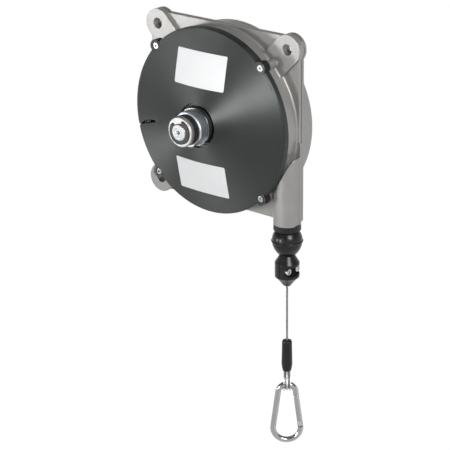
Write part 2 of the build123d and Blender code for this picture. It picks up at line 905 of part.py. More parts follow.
def bumper_ball():
    """The rubber ball that meets the guide bush, with the ridge that its mould leaves round it."""
    ridge_top = ball_middle + ridge_half_width
    ridge_bottom = ball_middle - ridge_half_width
    bore = cable_radius + seat_gap
    upper = ThreePointArc(
        (ball_top_radius, ball_top),
        ((ball_top_radius + ball_radius) / 2 + ball_upper_bulge, (ball_top + ridge_top) / 2),
        (ball_radius, ridge_top),
    )
    ridge = Polyline(
        (ball_radius, ridge_top),
        (ball_radius + ridge_height, ball_middle),
        (ball_radius, ridge_bottom),
    )
    lower = ThreePointArc(
        (ball_radius, ridge_bottom),
        ((ball_radius + ball_bottom_radius) / 2 + ball_lower_bulge, (ridge_bottom + ball_bottom) / 2),
        (ball_bottom_radius, ball_bottom),
    )
    inside = Polyline(
        (ball_bottom_radius, ball_bottom),
        (bore, ball_bottom),
        (bore, ball_top),
        (ball_top_radius, ball_top),
    )
    return hanging(make_face([upper, ridge, lower, inside]).face())


def clamp_body():
    return hanging([
        (cable_radius + running_gap, ball_bottom),
        (ball_bottom_radius, ball_bottom),
        (clamp_radius, clamp_shoulder),
        (clamp_radius, clamp_hip),
        (clamp_tail_radius, clamp_tail),
        (clamp_tip_radius, clamp_tip),
        (cable_radius + running_gap, clamp_tip),
    ])


def across(radius, start, end, y, z):
    """A cylinder along X, with its ends measured from the cable."""
    middle = Pos(cable_x + (start + end) / 2, y, z)
    return middle * Rot(0, 90, 0) * Cylinder(radius, end - start)


def facing_right(distance, y):
    """A plane at the screws' height that faces +X, at a distance from the cable."""
    return Plane((cable_x + distance, y, clamp_screw_z), x_dir=(0, 1, 0), z_dir=(1, 0, 0))


def clamp_screw_places():
    return [cable_y - clamp_screw_spacing / 2, cable_y + clamp_screw_spacing / 2]


def clamp_side(side):
    """One half of the clamp, to the right of the split for side 1 and to the left for side -1."""
    keep = Pos(cable_x + side * (clamp_radius + clamp_split / 2), cable_y, (ball_bottom + clamp_tip) / 2)
    half = clamp_body() & keep * Box(2 * clamp_radius, 4 * clamp_radius, 2 * (ball_bottom - clamp_tip))
    for y in clamp_screw_places():
        hole_start = -clamp_screw_reach - seat_gap
        half -= across(clamp_screw_radius + running_gap, hole_start, clamp_radius, y, clamp_screw_z)
    return half


def clamp_right_half():
    """The half with the channel that the screw heads lie in."""
    channel = SlotOverall(clamp_channel_length, clamp_channel_height)
    return clamp_side(1) - extrude(facing_right(clamp_channel_floor, cable_y) * channel, amount=clamp_radius)


def clamp_left_half():
    return clamp_side(-1)


def clamp_screws():
    screws = []
    floor = clamp_channel_floor
    for y in clamp_screw_places():
        head = across(clamp_head_radius, floor, floor + clamp_head_height, y, clamp_screw_z)
        shank = across(clamp_screw_radius, -clamp_screw_reach, floor, y, clamp_screw_z)
        face = facing_right(floor + clamp_head_height, y)
        socket = extrude(face * RegularPolygon(socket_radius, 6), amount=-socket_depth)
        screws.append(head + shank - socket)
    return screws


def hanging_cable():
    """The free stretch of cable, from its grip in the clamp to the ferrule."""
    middle = Pos(cable_x, cable_y, (clamp_grip + ferrule_top) / 2)
    return middle * Cylinder(cable_radius, clamp_grip - ferrule_top)


turn = math.radians(hook_turn)
across_hook = (math.cos(turn), math.sin(turn), 0)
out_of_hook = (math.sin(turn), -math.cos(turn), 0)
into_thimble = (-math.cos(turn), -math.sin(turn), 0)
hook_plane = Plane((cable_x, cable_y, 0), x_dir=across_hook, z_dir=out_of_hook)
thimble_plane = Plane((cable_x, cable_y, 0), x_dir=out_of_hook, z_dir=into_thimble)

# The cable's loop is a round eye and two arcs that bring its legs together below the sleeve.
rod_low = hook_top - 2 * rod_radius
eye_middle_z = rod_low - thimble_gap + eye_radius_of_cable - cable_radius - thimble_wall
leg_start_z = sleeve_bottom + leg_setback
leg_drop = leg_start_z - eye_middle_z
leg_curve_square = leg_drop**2 + eye_leg_offset**2 - eye_radius_of_cable**2
leg_curve = leg_curve_square / (2 * (eye_radius_of_cable - eye_leg_offset))
leg_angle = math.degrees(math.atan2(leg_drop, eye_leg_offset + leg_curve))


def leg_point(angle):
    """A point on the leg's arc, by the angle turned since the leg left the sleeve."""
    a = math.radians(angle)
    return (eye_leg_offset + leg_curve * (1 - math.cos(a)), leg_start_z - leg_curve * math.sin(a))


def eye_point(angle):
    """A point on the round of the eye, by its angle about the eye's centre."""
    a = math.radians(angle)
    return (eye_radius_of_cable * math.cos(a), eye_middle_z + eye_radius_of_cable * math.sin(a))


def half_eye(start_angle):
    """The right half of the loop, from a place on its leg down to the lowest point."""
    leg_middle = leg_point((start_angle + leg_angle) / 2)
    leg = ThreePointArc(leg_point(start_angle), leg_middle, leg_point(leg_angle))
    round_part = ThreePointArc(eye_point(leg_angle), eye_point((leg_angle - 90) / 2), eye_point(-90))
    return leg, round_part


def swept(section_radius, path):
    start = Plane(origin=path @ 0, z_dir=path % 0)
    return sweep(start * Circle(section_radius), path=path)


def cable_eye():
    """The cable's loop round the thimble. Both its ends butt on the ferrule."""
    leg, round_part = half_eye(0)
    straight = Line((eye_leg_offset, ferrule_bottom), leg_point(0))
    half = Wire([straight, leg, round_part])
    tube = swept(cable_radius, thimble_plane * half)
    return tube + mirror(tube, Plane(thimble_plane.origin, z_dir=out_of_hook))


def thimble():
    """The channel that lines the cable's eye: a half-round section that follows the loop."""
    start_angle = math.degrees(math.asin((leg_start_z - thimble_top) / leg_curve))
    path = thimble_plane * Wire(list(half_eye(start_angle)))
    begin = path @ 0
    along = path % 0
    section_plane = Plane(origin=begin, x_dir=into_thimble, z_dir=along)
    outward = 1 if section_plane.y_dir.dot(Vector(*out_of_hook)) > 0 else -1
    rim = thimble_half_width - thimble_wall - cable_radius
    ring = Circle(thimble_half_width) - Circle(thimble_half_width - thimble_wall)
    half_box = Rectangle(4 * thimble_half_width, 2 * thimble_half_width)
    inner_half = Pos(0, -outward * thimble_half_width) * half_box
    section = section_plane * (Pos(0, outward * rim) * (ring & inner_half))
    half = sweep(section, path=path)
    size = 8 * eye_radius_of_cable
    keep = thimble_plane * Pos(size / 2, eye_middle_z, 0) * Box(size, size, size)
    half &= keep
    return half + mirror(half, Plane(thimble_plane.origin, z_dir=out_of_hook))


def cable_ferrule():
    middle = Pos(cable_x, cable_y, (ferrule_top + ferrule_bottom) / 2)
    return middle * Cylinder(ferrule_radius, ferrule_top - ferrule_bottom)


def ferrule_sleeve():
    """The plastic sleeve over the ferrule, a little fuller below, with a rounded foot."""
    round_height = sleeve_radius - sleeve_end_radius
    leg_room = eye_leg_offset + cable_radius + running_gap * 2
    bore = ferrule_radius + running_gap
    full = sleeve_radius + sleeve_bulge
    return hanging([
        (cable_radius + running_gap, sleeve_top),
        (sleeve_radius - sleeve_top_round, sleeve_top),
        (sleeve_radius - sleeve_top_round * arc_share, sleeve_top - sleeve_top_round * arc_share),
        (sleeve_radius, sleeve_top - sleeve_top_round),
        (full, sleeve_bottom + sleeve_foot),
        (sleeve_radius, sleeve_bottom + sleeve_foot / 2),
        (sleeve_radius - round_height * arc_share, sleeve_bottom + round_height * arc_share),
        (sleeve_end_radius, sleeve_bottom),
        (leg_room, sleeve_bottom),
        (leg_room, ferrule_bottom),
        (bore, ferrule_bottom),
        (bore, ferrule_top),
        (cable_radius + running_gap, ferrule_top),
    ])


# The snap hook's rod runs round a small arc above and a large one below, with straight sides.
top_arc = hook_top_width / 2 - rod_radius
bottom_arc = hook_bottom_width / 2 - rod_radius
top_arc_z = hook_top - rod_radius - top_arc
bottom_arc_z = hook_top - hook_length + rod_radius + bottom_arc
side_tilt = math.asin((bottom_arc - top_arc) / (top_arc_z - bottom_arc_z))
side_top = (top_arc * math.cos(side_tilt), top_arc_z + top_arc * math.sin(side_tilt))
side_bottom = (bottom_arc * math.cos(side_tilt), bottom_arc_z + bottom_arc * math.sin(side_tilt))
shoulder_drop = gate_radius + shoulder_gap


def on_side(z):
    """The point of the right side's centre line at a height."""
    share = (side_top[1] - z) / (side_top[1] - side_bottom[1])
    return (side_top[0] + share * (side_bottom[0] - side_top[0]), z)


def along_side(point, distance):
    """A point moved up the right side by a distance."""
    return (point[0] - distance * math.sin(side_tilt), point[1] + distance * math.cos(side_tilt))


hinge_point = on_side(gate_hinge_z)
nose_point = on_side(nose_z)
tongue_end = along_side(nose_point, -nose_length)
latch_point = along_side(nose_point, -latch_drop)
shoulder_angle = math.asin((hinge_point[1] - shoulder_drop - bottom_arc_z) / bottom_arc)
shoulder_point = (
    bottom_arc * math.cos(shoulder_angle),
    bottom_arc_z + bottom_arc * math.sin(shoulder_angle),
)


def in_hook(sketch, thickness):
    """A flat piece in the hook's plane, half its thickness to each side."""
    return extrude(hook_plane * sketch, amount=thickness / 2, both=True)


def link(start, end, radius):
    """A round-ended strip from one point to another."""
    length = math.dist(start, end)
    middle = Pos((start[0] + end[0]) / 2, (start[1] + end[1]) / 2)
    tilt = math.degrees(math.atan2(end[1] - start[1], end[0] - start[0]))
    return middle * Rot(0, 0, tilt) * SlotCenterToCenter(length, 2 * radius)


def strip(start, end, width):
    """A square-ended strip from one point to another."""
    length = math.dist(start, end)
    middle = Pos((start[0] + end[0]) / 2, (start[1] + end[1]) / 2)
    tilt = math.degrees(math.atan2(end[1] - start[1], end[0] - start[0]))
    return middle * Rot(0, 0, tilt) * Rectangle(length, width)


def hook_path():
    lower_left = (-side_bottom[0], side_bottom[1])
    upper_left = (-side_top[0], side_top[1])
    return Wire([
        Line(nose_point, side_top),
        ThreePointArc(side_top, (0, top_arc_z + top_arc), upper_left),
        Line(upper_left, lower_left),
        ThreePointArc(lower_left, (0, bottom_arc_z - bottom_arc), shoulder_point),
    ])


def snap_hook():
    """The bent rod, with a flat nose above and a flat tongue below for the gate."""
    body = swept(rod_radius, hook_plane * hook_path())
    nose = link(along_side(nose_point, tongue_radius), tongue_end, tongue_radius)
    notch_size = latch_pin_radius + latch_gap
    inward = (latch_point[0] - 3 * tongue_radius, latch_point[1])
    nose -= link(inward, latch_point, notch_size)
    tongue = link(hinge_point, shoulder_point, tongue_radius)
    body += in_hook(nose, tongue_thickness) + in_hook(tongue, tongue_thickness)
    return body - in_hook(Pos(*hinge_point) * Circle(gate_pin_radius + running_gap), 2 * rod_radius)


gate_top = along_side(nose_point, -gate_end_gap)
spring_base = along_side(hinge_point, tongue_radius + 3 * tongue_gap)


def along_gate(radius, start, length):
    """A cylinder inside the gate, up its length from a point."""
    direction = hook_plane.from_local_coords(Vector(-math.sin(side_tilt), math.cos(side_tilt), 0))
    origin = hook_plane.from_local_coords(Vector(0, 0, 0))
    base = hook_plane.from_local_coords(Vector(start[0], start[1], 0))
    return extrude(Plane(base, z_dir=direction - origin) * Circle(radius), amount=length)


def gate():
    """The sprung gate: a rod forked at both ends over the hook's tongues."""
    length = math.dist(gate_top, hinge_point)
    body = along_gate(gate_radius, hinge_point, length)
    body += in_hook(Pos(*hinge_point) * Circle(gate_radius), gate_fork_width)
    slot = tongue_thickness + 2 * tongue_gap
    low = along_side(hinge_point, -2 * gate_radius)
    high = along_side(gate_top, 2 * gate_radius)
    lower_floor = along_side(hinge_point, tongue_radius + 2 * tongue_gap)
    upper_floor = along_side(tongue_end, -tongue_radius - 2 * tongue_gap)
    body -= in_hook(strip(low, lower_floor, 4 * gate_radius), slot)
    body -= in_hook(strip(upper_floor, high, 4 * gate_radius), slot)
    body -= in_hook(Pos(*hinge_point) * Circle(gate_pin_radius + running_gap), 3 * gate_radius)
    body -= in_hook(Pos(*latch_point) * Circle(latch_pin_radius + running_gap), 3 * gate_radius)
    heads = in_hook(Pos(*hinge_point) * Circle(gate_pin_head_radius + running_gap), 3 * gate_radius)
    body -= heads - in_hook(Pos(*hinge_point) * Circle(2 * gate_radius), gate_fork_width)
    bore_length = tongue_radius + 3 * tongue_gap + gate_spring_length + seat_gap
    return body - along_gate(gate_spring_radius + running_gap, hinge_point, bore_length)


def gate_spring():
    """The small spring in the gate's bore that keeps the gate shut."""
    return along_gate(gate_spring_radius, spring_base, gate_spring_length)


def gate_pin():
    length = gate_fork_width + 2 * gate_pin_head
    pin = in_hook(Pos(*hinge_point) * Circle(gate_pin_radius), length)
    heads = in_hook(Pos(*hinge_point) * Circle(gate_pin_head_radius), length)
    return pin + (heads - in_hook(Pos(*hinge_point) * Circle(2 * gate_pin_head_radius), gate_fork_width))


def gate_latch_pin():
    return in_hook(Pos(*latch_point) * Circle(latch_pin_radius), gate_fork_width)


pieces = {
    "front_cover": front_cover,
    "front_casting": front_casting,
    "rear_casting": rear_casting,
    "cover_screws": cover_screws,
    "guide_bush": guide_bush,
    "ratchet_collar": ratchet_collar,
    "rear_bush": rear_bush,
    "arbor": arbor,
    "adjusting_nut": adjusting_nut,
    "nut_key": nut_key,
    "disc_springs": disc_springs,
    "thrust_washer": thrust_washer,
    "retaining_ring": retaining_ring,
    "cable_drum": cable_drum,
    "spring_cover": spring_cover,
    "spring_cover_screws": spring_cover_screws,
    "drum_bush_front": lambda: drum_bush(drum_rim_front),
    "drum_bush_rear": lambda: drum_bush(web_rear),
    "spring_outer_pin": spring_outer_pin,
    "cable_stop": cable_stop,
    "wound_cable": wound_cable,
    "power_spring": power_spring,
    "feed_cable": feed_cable,
    "bumper_ball": bumper_ball,
    "clamp_left_half": clamp_left_half,
    "clamp_right_half": clamp_right_half,
    "clamp_screws": clamp_screws,
    "hanging_cable": hanging_cable,
    "cable_ferrule": cable_ferrule,
    "ferrule_sleeve": ferrule_sleeve,
    "cable_eye": cable_eye,
    "thimble": thimble,
    "snap_hook": snap_hook,
    "gate": gate,
    "gate_spring": gate_spring,
    "gate_pin": gate_pin,
    "gate_latch_pin": gate_latch_pin,
}

os.makedirs("parts", exist_ok=True)
to_eye = Pos(-lug_offset, -eye_middle, -lug_offset)
for name, make in pieces.items():
    made = make()
    solids = []
    for shape in made if isinstance(made, list) else [made]:
        solids += (to_eye * shape).solids()
    shape = solids[0] if len(solids) == 1 else Compound(children=solids)
    export_step(shape, f"parts/{name}.step")
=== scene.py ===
import json
import math

import bmesh
import bpy
from bpy.props import FloatProperty, FloatVectorProperty, IntProperty, PointerProperty
from bpy.types import Operator, Panel, PropertyGroup
from mathutils import Matrix, Vector
from mathutils.bvhtree import BVHTree


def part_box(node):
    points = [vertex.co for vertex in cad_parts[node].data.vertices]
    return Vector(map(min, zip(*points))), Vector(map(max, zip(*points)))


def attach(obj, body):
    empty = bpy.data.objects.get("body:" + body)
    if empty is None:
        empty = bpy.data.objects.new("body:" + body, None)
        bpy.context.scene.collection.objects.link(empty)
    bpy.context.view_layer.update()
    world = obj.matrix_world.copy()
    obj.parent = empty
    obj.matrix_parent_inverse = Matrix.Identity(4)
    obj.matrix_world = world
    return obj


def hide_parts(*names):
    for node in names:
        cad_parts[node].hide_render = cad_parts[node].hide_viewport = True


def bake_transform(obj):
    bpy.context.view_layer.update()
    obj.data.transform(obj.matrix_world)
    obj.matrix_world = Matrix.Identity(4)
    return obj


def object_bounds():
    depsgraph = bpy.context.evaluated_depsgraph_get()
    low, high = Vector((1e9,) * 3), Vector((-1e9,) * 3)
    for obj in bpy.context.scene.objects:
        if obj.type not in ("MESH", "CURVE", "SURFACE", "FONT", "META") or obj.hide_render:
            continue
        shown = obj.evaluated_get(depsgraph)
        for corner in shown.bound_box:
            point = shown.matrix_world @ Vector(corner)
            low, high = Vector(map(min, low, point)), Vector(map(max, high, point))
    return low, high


bl_info = {
    "name": "Tool balancer dressing",
    "version": (1, 0, 0),
    "blender": (4, 5, 0),
    "location": "3D View > Sidebar > Balancer",
    "description": "Gives the tool balancer its finishes, labels, stranded cable and studio",
    "category": "Object",
}

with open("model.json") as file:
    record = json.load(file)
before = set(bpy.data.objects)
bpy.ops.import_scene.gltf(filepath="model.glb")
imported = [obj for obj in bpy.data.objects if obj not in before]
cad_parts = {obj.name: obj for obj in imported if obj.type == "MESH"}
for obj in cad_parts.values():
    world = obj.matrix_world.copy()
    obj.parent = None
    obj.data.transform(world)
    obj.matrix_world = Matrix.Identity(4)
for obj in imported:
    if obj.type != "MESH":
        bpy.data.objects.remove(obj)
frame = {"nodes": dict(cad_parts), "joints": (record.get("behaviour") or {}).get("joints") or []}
cad_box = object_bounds()
MM = 0.001


def joint(name):
    return next(j for j in frame["joints"] if j["name"] == name)


def middle(node):
    """The centre of a CAD node's box."""
    low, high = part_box(node)
    return (low + high) / 2


hub_axis = Vector(joint("drum_turn")["pos_m"])
hub_direction = (0.0, 1.0, 0.0)
cable_axis = middle("hanging_cable")
cover_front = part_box("cover_screws")[0].y
casting_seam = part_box("rear_casting")[0].y


# Sizes and colours that a user would change


class CoverSettings(PropertyGroup):
    paint: FloatVectorProperty(
        name="Paint",
        description="Colour of the cover's satin paint",
        subtype="COLOR",
        size=3,
        default=(0.063, 0.066, 0.0655),
    )
    metallic: FloatProperty(name="Metallic", description="Share of metal flake", default=0.92, min=0, max=1)
    roughness: FloatProperty(name="Roughness", description="How matte the paint is", default=0.46, min=0.05, max=1)
    spun: FloatProperty(name="Spun", description="How far the rings stretch a highlight", default=0.97, min=0, max=1)
    grain: FloatProperty(
        name="Grain", description="Size of the paint's fine grain", default=0.35 * MM, unit="LENGTH"
    )


class MetalSettings(PropertyGroup):
    cast_colour: FloatVectorProperty(
        name="Casting",
        description="Colour of the cast housing",
        subtype="COLOR",
        size=3,
        default=(0.28, 0.275, 0.266),
    )
    cast_roughness: FloatProperty(
        name="Casting roughness", description="How matte the casting is", default=0.37, min=0.05, max=1
    )
    cast_grain: FloatProperty(
        name="Casting grain", description="Size of the casting's grain", default=0.8 * MM, unit="LENGTH"
    )
    seam: FloatProperty(
        name="Seam",
        description="Half the width of the dark line between the castings",
        default=0.65 * MM,
        unit="LENGTH",
    )
    zinc_colour: FloatVectorProperty(
        name="Zinc",
        description="Colour of the zinc plating",
        subtype="COLOR",
        size=3,
        default=(0.42, 0.445, 0.465),
    )
    nickel_colour: FloatVectorProperty(
        name="Nickel",
        description="Colour of the hook's plating",
        subtype="COLOR",
        size=3,
        default=(0.46, 0.46, 0.455),
    )
    wear: FloatProperty(
        name="Wear", description="Width of the worn, brighter edges", default=0.5 * MM, unit="LENGTH"
    )


class BlackSettings(PropertyGroup):
    rubber: FloatVectorProperty(
        name="Rubber",
        description="Colour of the bumper ball",
        subtype="COLOR",
        size=3,
        default=(0.008, 0.008, 0.009),
    )
    plastic: FloatVectorProperty(
        name="Plastic",
        description="Colour of the moulded pieces",
        subtype="COLOR",
        size=3,
        default=(0.009, 0.009, 0.010),
    )
    gloss: FloatProperty(name="Gloss", description="Strength of the reflections", default=0.28, min=0, max=1)


class LabelSettings(PropertyGroup):
    width: FloatProperty(name="Width", description="Width of each label", default=63 * MM, unit="LENGTH")
    height: FloatProperty(name="Height", description="Height of each label", default=34.4 * MM, unit="LENGTH")
    corner: FloatProperty(name="Corner", description="Radius of the corners", default=1.6 * MM, unit="LENGTH")
    thickness: FloatProperty(name="Thickness", description="Thickness of the foil", default=0.25 * MM, unit="LENGTH")
    lift: FloatProperty(name="Lift", description="Glue between foil and cover", default=0.02 * MM, unit="LENGTH")
    from_hub_x: FloatProperty(
        name="Sideways", description="Middle of the labels, from the hub", default=-1.6 * MM, unit="LENGTH"
    )
    upper_z: FloatProperty(
        name="Upper label",
        description="Height of the upper label's middle above the hub",
        default=55.2 * MM,
        unit="LENGTH",
    )
    lower_z: FloatProperty(
        name="Lower label",
        description="Height of the lower label's middle above the hub",
        default=-56.3 * MM,
        unit="LENGTH",
    )


class CableSettings(PropertyGroup):
    diameter: FloatProperty(name="Diameter", description="Diameter over the strands", default=2.2 * MM, unit="LENGTH")
    strands: IntProperty(name="Strands", description="Outer strands", default=6, min=3, max=12)
    lay_length: FloatProperty(
        name="Lay", description="Height of one full turn of a strand", default=11 * MM, unit="LENGTH"
    )


class StudioSettings(PropertyGroup):
    floor_drop: FloatProperty(
        name="Floor drop", description="How far the floor lies below the hook", default=2.6, unit="LENGTH"
    )
    floor_reach: FloatProperty(
        name="Floor reach", description="From the floor's middle to each edge", default=40, unit="LENGTH"
    )
    floor_colour: FloatVectorProperty(
        name="Floor", description="Colour of the floor", subtype="COLOR", size=3, default=(0.86, 0.86, 0.86)
    )
    glow_front: FloatProperty(name="Front glow", description="White added to the floor in front", default=0.58, min=0)
    glow_back: FloatProperty(name="Back glow", description="White added to the floor behind", default=0.84, min=0)
    sky: FloatProperty(name="Sky", description="Brightness of the soft light from all round", default=0.26, min=0)
    side: FloatProperty(name="Side light", description="Power of the right side light in watts", default=26, min=0)
    front: FloatProperty(name="Front light", description="Power of the small front light in watts", default=9, min=0)
    left: FloatProperty(name="Left light", description="Power of the small left light in watts", default=4.2, min=0)


class CameraSettings(PropertyGroup):
    azimuth: FloatProperty(
        name="Azimuth", description="Turn to the right", subtype="ANGLE", default=math.radians(39.905)
    )
    elevation: FloatProperty(
        name="Elevation", description="Height above the horizon", subtype="ANGLE", default=math.radians(21.272)
    )
    roll: FloatProperty(
        name="Roll", description="Roll about the view", subtype="ANGLE", default=math.radians(-0.664)
    )
    distance: FloatProperty(name="Distance", description="From the aim point", default=1.75977, unit="LENGTH")
    lens: FloatProperty(name="Lens", description="Focal length in millimetres", default=142.33)
    aim_right: FloatProperty(
        name="Aim right",
        description="Aim point, right of the hub as the camera sees it",
        default=16.102 * MM,
        unit="LENGTH",
    )
    aim_up: FloatProperty(
        name="Aim up",
        description="Aim point, above the hub as the camera sees it",
        default=-102.299 * MM,
        unit="LENGTH",
    )
    hub_depth: FloatProperty(
        name="Hub depth",
        description="Where on the hub's axis the aim is counted from",
        default=-27.15 * MM,
        unit="LENGTH",
    )


class BalancerSettings(PropertyGroup):
    cover: PointerProperty(type=CoverSettings)
    metal: PointerProperty(type=MetalSettings)
    black: PointerProperty(type=BlackSettings)
    label: PointerProperty(type=LabelSettings)
    cable: PointerProperty(type=CableSettings)
    studio: PointerProperty(type=StudioSettings)
    camera: PointerProperty(type=CameraSettings)


# Shader groups shared by the finishes


class Graph:
    """Short calls for adding and joining nodes in one tree."""

    def __init__(self, tree):
        self.tree = tree

    def add(self, kind, inputs=(), **settings):
        node = self.tree.nodes.new("ShaderNode" + kind)
        for name, value in settings.items():
            setattr(node, name, value)
        for name, value in dict(inputs).items():
            self.give(node.inputs[name], value)
        return node

    def give(self, socket, value):
        if isinstance(value, bpy.types.NodeSocket):
            self.tree.links.new(value, socket)
        else:
            socket.default_value = value

    def maths(self, operation, a, b=0.0):
        node = self.add("Math", operation=operation)
        for socket, value in zip(node.inputs, (a, b)):
            self.give(socket, value)
        return node.outputs[0]

    def vector(self, operation, a, b=(0, 0, 0)):
        node = self.add("VectorMath", operation=operation)
        self.give(node.inputs[0], a)
        if operation == "SCALE":
            self.give(node.inputs["Scale"], b)
        else:
            self.give(node.inputs[1], b)
        return node.outputs["Value" if operation in ("LENGTH", "DOT_PRODUCT") else "Vector"]

    def ramp(self, value, low, high, out_low=0.0, out_high=1.0):
        node = self.add("MapRange", clamp=True)
        for socket, number in zip(node.inputs, (value, low, high, out_low, out_high)):
            self.give(socket, number)
        return node.outputs[0]

    def mix(self, factor, a, b):
        node = self.add("Mix", data_type="RGBA")
        self.give(node.inputs["Factor"], factor)
        self.give(node.inputs["A"], a)
        self.give(node.inputs["B"], b)
        return node.outputs["Result"]

    def place(self):
        return self.add("TexCoord").outputs["Object"]


def new_group(name, inputs, outputs):
    """An empty shader group, its graph, and its input and output nodes."""
    group = bpy.data.node_groups.new(name, "ShaderNodeTree")
    for socket, kind, default in inputs:
        made = group.interface.new_socket(name=socket, in_out="INPUT", socket_type="NodeSocket" + kind)
        made.default_value = default
    for socket, kind in outputs:
        group.interface.new_socket(name=socket, in_out="OUTPUT", socket_type="NodeSocket" + kind)
    graph = Graph(group)
    return group, graph, group.nodes.new("NodeGroupInput"), group.nodes.new("NodeGroupOutput")


def make_grain():
    """Fine grain, and a cloudy tone some twenty times as large."""
    group, graph, given, put = new_group(
        "Grain",
        [("Size", "Float", MM), ("Cloud size", "Float", 20 * MM)],
        [("Grain", "Float"), ("Cloud", "Float")],
    )
    place = graph.place()
    fine = graph.add("TexNoise", {"Vector": place, "Detail": 3.0, "Roughness": 0.6})
    graph.give(fine.inputs["Scale"], graph.maths("DIVIDE", 1.0, given.outputs["Size"]))
    cloud = graph.add("TexNoise", {"Vector": place, "Detail": 2.0, "Roughness": 0.5})
    graph.give(cloud.inputs["Scale"], graph.maths("DIVIDE", 1.0, given.outputs["Cloud size"]))
    graph.give(put.inputs["Grain"], fine.outputs[0])
    graph.give(put.inputs["Cloud"], cloud.outputs[0])
    return group


def make_edge_wear_and_highlight():
    """A mask of the edges, broken up by noise, and the normal with its edges softened."""
    group, graph, given, put = new_group(
        "Edge wear and highlight",
        [("Width", "Float", 0.5 * MM), ("Breakup", "Float", 4 * MM)],
        [("Mask", "Float"), ("Normal", "Vector")],
    )
    soft = graph.add("Bevel", {"Radius": given.outputs["Width"]}, samples=6)
    true = graph.add("NewGeometry").outputs["Normal"]
    turned = graph.maths("SUBTRACT", 1.0, graph.vector("DOT_PRODUCT", soft.outputs[0], true))
    worn = graph.ramp(turned, 0.012, 0.16)
    patchy = graph.add("TexNoise", {"Vector": graph.place(), "Detail": 3.0})
    graph.give(patchy.inputs["Scale"], graph.maths("DIVIDE", 1.0, given.outputs["Breakup"]))
    broken = graph.ramp(patchy.outputs[0], 0.32, 0.62, 0.35, 1.0)
    graph.give(put.inputs["Mask"], graph.maths("MULTIPLY", worn, broken))
    graph.give(put.inputs["Normal"], soft.outputs[0])
    return group


def make_turned_marks():
    """The fine rings that turning leaves about an axis, from 0 to 1."""
    group, graph, given, put = new_group(
        "Turned marks",
        [("Centre", "Vector", (0, 0, 0)), ("Axis", "Vector", (0, 1, 0)), ("Pitch", "Float", 0.4 * MM)],
        [("Rings", "Float")],
    )
    away = graph.vector("SUBTRACT", graph.place(), given.outputs["Centre"])
    along = graph.vector("DOT_PRODUCT", away, given.outputs["Axis"])
    flat = graph.vector("SUBTRACT", away, graph.vector("SCALE", given.outputs["Axis"], along))
    path = graph.maths("ADD", graph.vector("LENGTH", flat), along)
    rings = graph.add("TexNoise", {"Detail": 2.0, "Scale": 1.0}, noise_dimensions="1D")
    graph.give(rings.inputs["W"], graph.maths("DIVIDE", path, given.outputs["Pitch"]))
    graph.give(put.inputs["Rings"], rings.outputs[0])
    return group


def make_dust():
    """Thin pale dust that lies on faces that look up, and a few fine specks."""
    group, graph, given, put = new_group("Dust", [("Amount", "Float", 0.2)], [("Mask", "Float")])
    up = graph.add("SeparateXYZ", {0: graph.add("NewGeometry").outputs["Normal"]}).outputs["Z"]
    facing = graph.ramp(up, -0.2, 1.0, 0.25, 1.0)
    place = graph.place()
    film = graph.add("TexNoise", {"Vector": place, "Scale": 90.0, "Detail": 4.0})
    cells = graph.add("TexVoronoi", {"Vector": place, "Scale": 700.0})
    thin = graph.ramp(film.outputs[0], 0.35, 0.75)
    specks = graph.ramp(cells.outputs["Distance"], 0.10, 0.04)
    both = graph.maths("MAXIMUM", thin, specks)
    lying = graph.maths("MULTIPLY", facing, both)
    graph.give(put.inputs["Mask"], graph.maths("MULTIPLY", lying, given.outputs["Amount"]))
    return group


def make_spun():
    """The direction away from the cover's axis, which is across the rings that spinning leaves."""
    group, graph, given, put = new_group("Spun", [("Centre", "Vector", (0, 0, 0))], [("Across", "Vector")])
    away = graph.vector("SUBTRACT", graph.place(), given.outputs["Centre"])
    flat = graph.vector("MULTIPLY", away, (1, 0, 1))
    graph.give(put.inputs["Across"], graph.add("VectorMath", {0: flat}, operation="NORMALIZE").outputs["Vector"])
    return group


group_makers = {
    "Grain": make_grain,
    "Spun": make_spun,
    "Edge wear and highlight": make_edge_wear_and_highlight,
    "Turned marks": make_turned_marks,
    "Dust": make_dust,
}


class Finish(Graph):
    """A material with its Principled shader, and short calls for the effects that feed it."""

    def __init__(self, name, metallic=0.0):
        self.material = bpy.data.materials.new(name)
        self.material.use_nodes = True
        super().__init__(self.material.node_tree)
        self.shader = self.tree.nodes["Principled BSDF"]
        self.shader.inputs["Metallic"].default_value = metallic

    def group(self, name, **values):
        tree = bpy.data.node_groups.get(name) or group_makers[name]()
        node = self.add("Group", node_tree=tree)
        for socket, value in values.items():
            self.give(node.inputs[socket.replace("_", " ")], value)
        return node.outputs

    def set(self, **values):
        for socket, value in values.items():
            self.give(self.shader.inputs[socket.replace("_", " ")], value)
        return self

    def bump(self, height, distance, normal=None):
        node = self.add("Bump", {"Height": height, "Distance": distance})
        if normal is not None:
            self.give(node.inputs["Normal"], normal)
        return node.outputs[0]


def shade(colour, factor):
    """A colour made lighter or darker, as four numbers."""
    return tuple(min(1.0, c * factor) for c in colour[:3]) + (1.0,)


# Finishes


def cover_paint(settings):
    look = settings.cover
    finish = Finish("cover_paint", metallic=look.metallic)
    grain = finish.group("Grain", Size=look.grain, Cloud_size=26 * MM)
    wear = finish.group("Edge wear and highlight", Width=settings.metal.wear, Breakup=3 * MM)
    dust = finish.group("Dust", Amount=0.015)
    tone = finish.mix(grain["Cloud"], shade(look.paint, 0.92), shade(look.paint, 1.08))
    worn = finish.mix(finish.maths("MULTIPLY", wear["Mask"], 0.7), tone, (0.30, 0.30, 0.29, 1))
    finish.set(Base_Color=finish.mix(dust["Mask"], worn, (0.42, 0.41, 0.39, 1)))
    finish.set(Roughness=finish.ramp(grain["Cloud"], 0.3, 0.7, look.roughness - 0.03, look.roughness + 0.03))
    finish.set(Normal=finish.bump(grain["Grain"], 0.025 * MM, wear["Normal"]))
    finish.shader.inputs["Anisotropic"].default_value = look.spun
    finish.set(Tangent=finish.group("Spun", Centre=hub_axis)["Across"])
    return finish.material


